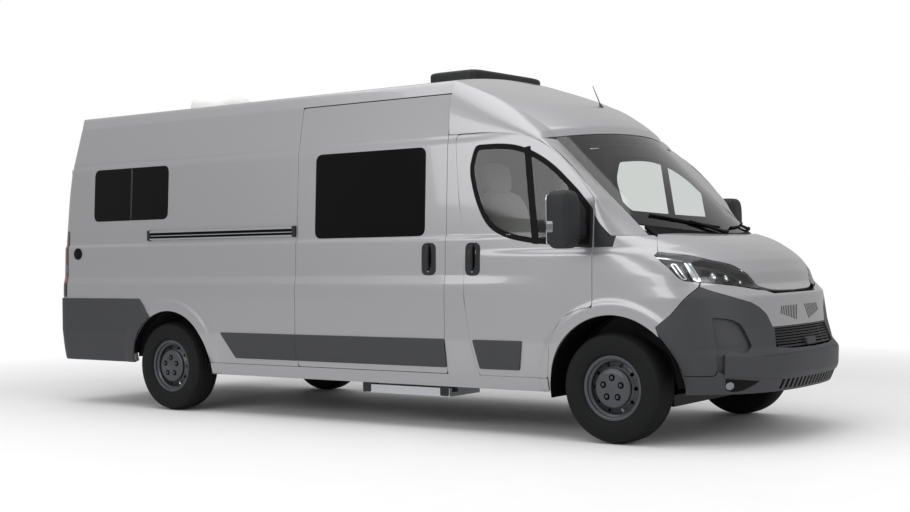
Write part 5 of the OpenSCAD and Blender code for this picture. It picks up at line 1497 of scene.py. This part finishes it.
def area(name, size, place, aim, power):
    """A soft rectangular light aimed at a point, metres and watts."""
    lamp_data = bpy.data.lights.new(name, "AREA")
    lamp_data.shape, lamp_data.size, lamp_data.size_y, lamp_data.energy = "RECTANGLE", size[0], size[1], power
    o = bpy.data.objects.new(name, lamp_data)
    z = np.array(place, float) - aim
    z /= np.linalg.norm(z)
    x = np.cross([0, 0, 1.0], z) if abs(z[2]) < 0.99 else np.array([1.0, 0, 0])
    x /= np.linalg.norm(x)
    m = np.eye(4)
    m[:3, 0], m[:3, 1], m[:3, 2], m[:3, 3] = x, np.cross(z, x), z, place
    o.matrix_world = Matrix(m.tolist())
    bpy.context.scene.collection.objects.link(o)


def stage_floor():
    """A wide pale floor that fades into the white surroundings."""
    mesh = bpy.data.meshes.new("studio_floor")
    mesh.from_pydata([(-60, -60, -0.002), (60, -60, -0.002), (60, 60, -0.002), (-60, 60, -0.002)], [], [(0, 1, 2, 3)])
    paint = material("studio_floor_paint", "#e9e9e9", 0.6, grain=400, mottle=0.01)
    t = paint.node_tree
    place = add(t, "ShaderNodeTexCoord")
    reach = add(t, "ShaderNodeVectorMath", [("Vector", place.outputs["Object"])], operation="LENGTH")
    fade = add(t, "ShaderNodeMapRange", [("Value", reach.outputs["Value"])], From_Min=4.5, From_Max=8.0)
    path = add(t, "ShaderNodeLightPath")
    share = add(t, "ShaderNodeMath", [], operation="MULTIPLY")
    t.links.new(fade.outputs["Result"], share.inputs[0])
    t.links.new(path.outputs["Is Camera Ray"], share.inputs[1])
    glow = add(t, "ShaderNodeEmission", Strength=1.0)
    mix = add(t, "ShaderNodeMixShader", [("Fac", share.outputs["Value"])])
    t.links.new(t.nodes["Principled BSDF"].outputs["BSDF"], mix.inputs[1])
    t.links.new(glow.outputs["Emission"], mix.inputs[2])
    t.links.new(mix.outputs["Shader"], t.nodes["Material Output"].inputs["Surface"])
    mesh.materials.append(paint)
    o = bpy.data.objects.new("studio_floor", mesh)
    bpy.context.scene.collection.objects.link(o)


def studio():
    """White surroundings for the camera, softer grey for light, three large lamps."""
    world = bpy.data.worlds.new("studio")
    bpy.context.scene.world = world
    world.use_nodes = True
    t = world.node_tree
    path = add(t, "ShaderNodeLightPath")
    seen = add(t, "ShaderNodeMath", operation="MAXIMUM")
    t.links.new(path.outputs["Is Camera Ray"], seen.inputs[0])
    t.links.new(path.outputs["Is Transmission Ray"], seen.inputs[1])
    aim = add(t, "ShaderNodeTexCoord")
    height = add(t, "ShaderNodeSeparateXYZ", [("Vector", aim.outputs["Generated"])])
    sky = add(t, "ShaderNodeMapRange", [("Value", height.outputs["Z"])], From_Min=-0.1, From_Max=0.8, To_Min=0.42,
              To_Max=0.8)
    level = add(t, "ShaderNodeMapRange", [("Value", seen.outputs["Value"]), ("To Min", sky.outputs["Result"])],
                To_Max=1.0)
    t.links.new(level.outputs["Result"], t.nodes["Background"].inputs["Strength"])
    t.nodes["Background"].inputs["Color"].default_value = (1, 1, 1, 1)
    area("key_above", (10, 6), (0.5, -1.5, 7.0), (0, 0, 1), 300)
    area("side_card", (10, 2.5), (-0.5, -9.0, 4.0), (-0.5, 0, 1.2), 230)
    area("front_card", (4, 3), (9.0, -2.0, 3.5), (1, 0, 1.2), 110)
    stage_floor()


def photo_camera():
    """Camera fitted to the photograph: place, heading, pitch, roll and focal length."""
    yaw, pitch, roll = np.radians([36.28, 0.16, 0.95])
    f = np.array([-math.sin(yaw) * math.cos(pitch), math.cos(yaw) * math.cos(pitch), -math.sin(pitch)])
    r = np.cross(f, [0, 0, 1.0])
    r /= np.linalg.norm(r)
    d = np.cross(f, r)
    right = math.cos(roll) * r + math.sin(roll) * d
    down = -math.sin(roll) * r + math.cos(roll) * d
    m = np.eye(4)
    m[:3, 0], m[:3, 1], m[:3, 2] = right, -down, -f
    m[:3, 3] = np.array([4411 + FRONT_X - 12, -8624, 1219]) * MM
    cam = bpy.data.cameras.new("photo_camera")
    cam.lens, cam.sensor_width, cam.sensor_fit = 1399 / 910 * 36, 36, "HORIZONTAL"
    o = bpy.data.objects.new("photo_camera", cam)
    o.matrix_world = Matrix(m.tolist())
    bpy.context.scene.collection.objects.link(o)
    bpy.context.scene.camera = o


studio()
photo_camera()
bpy.context.scene.view_settings.view_transform = "Standard"
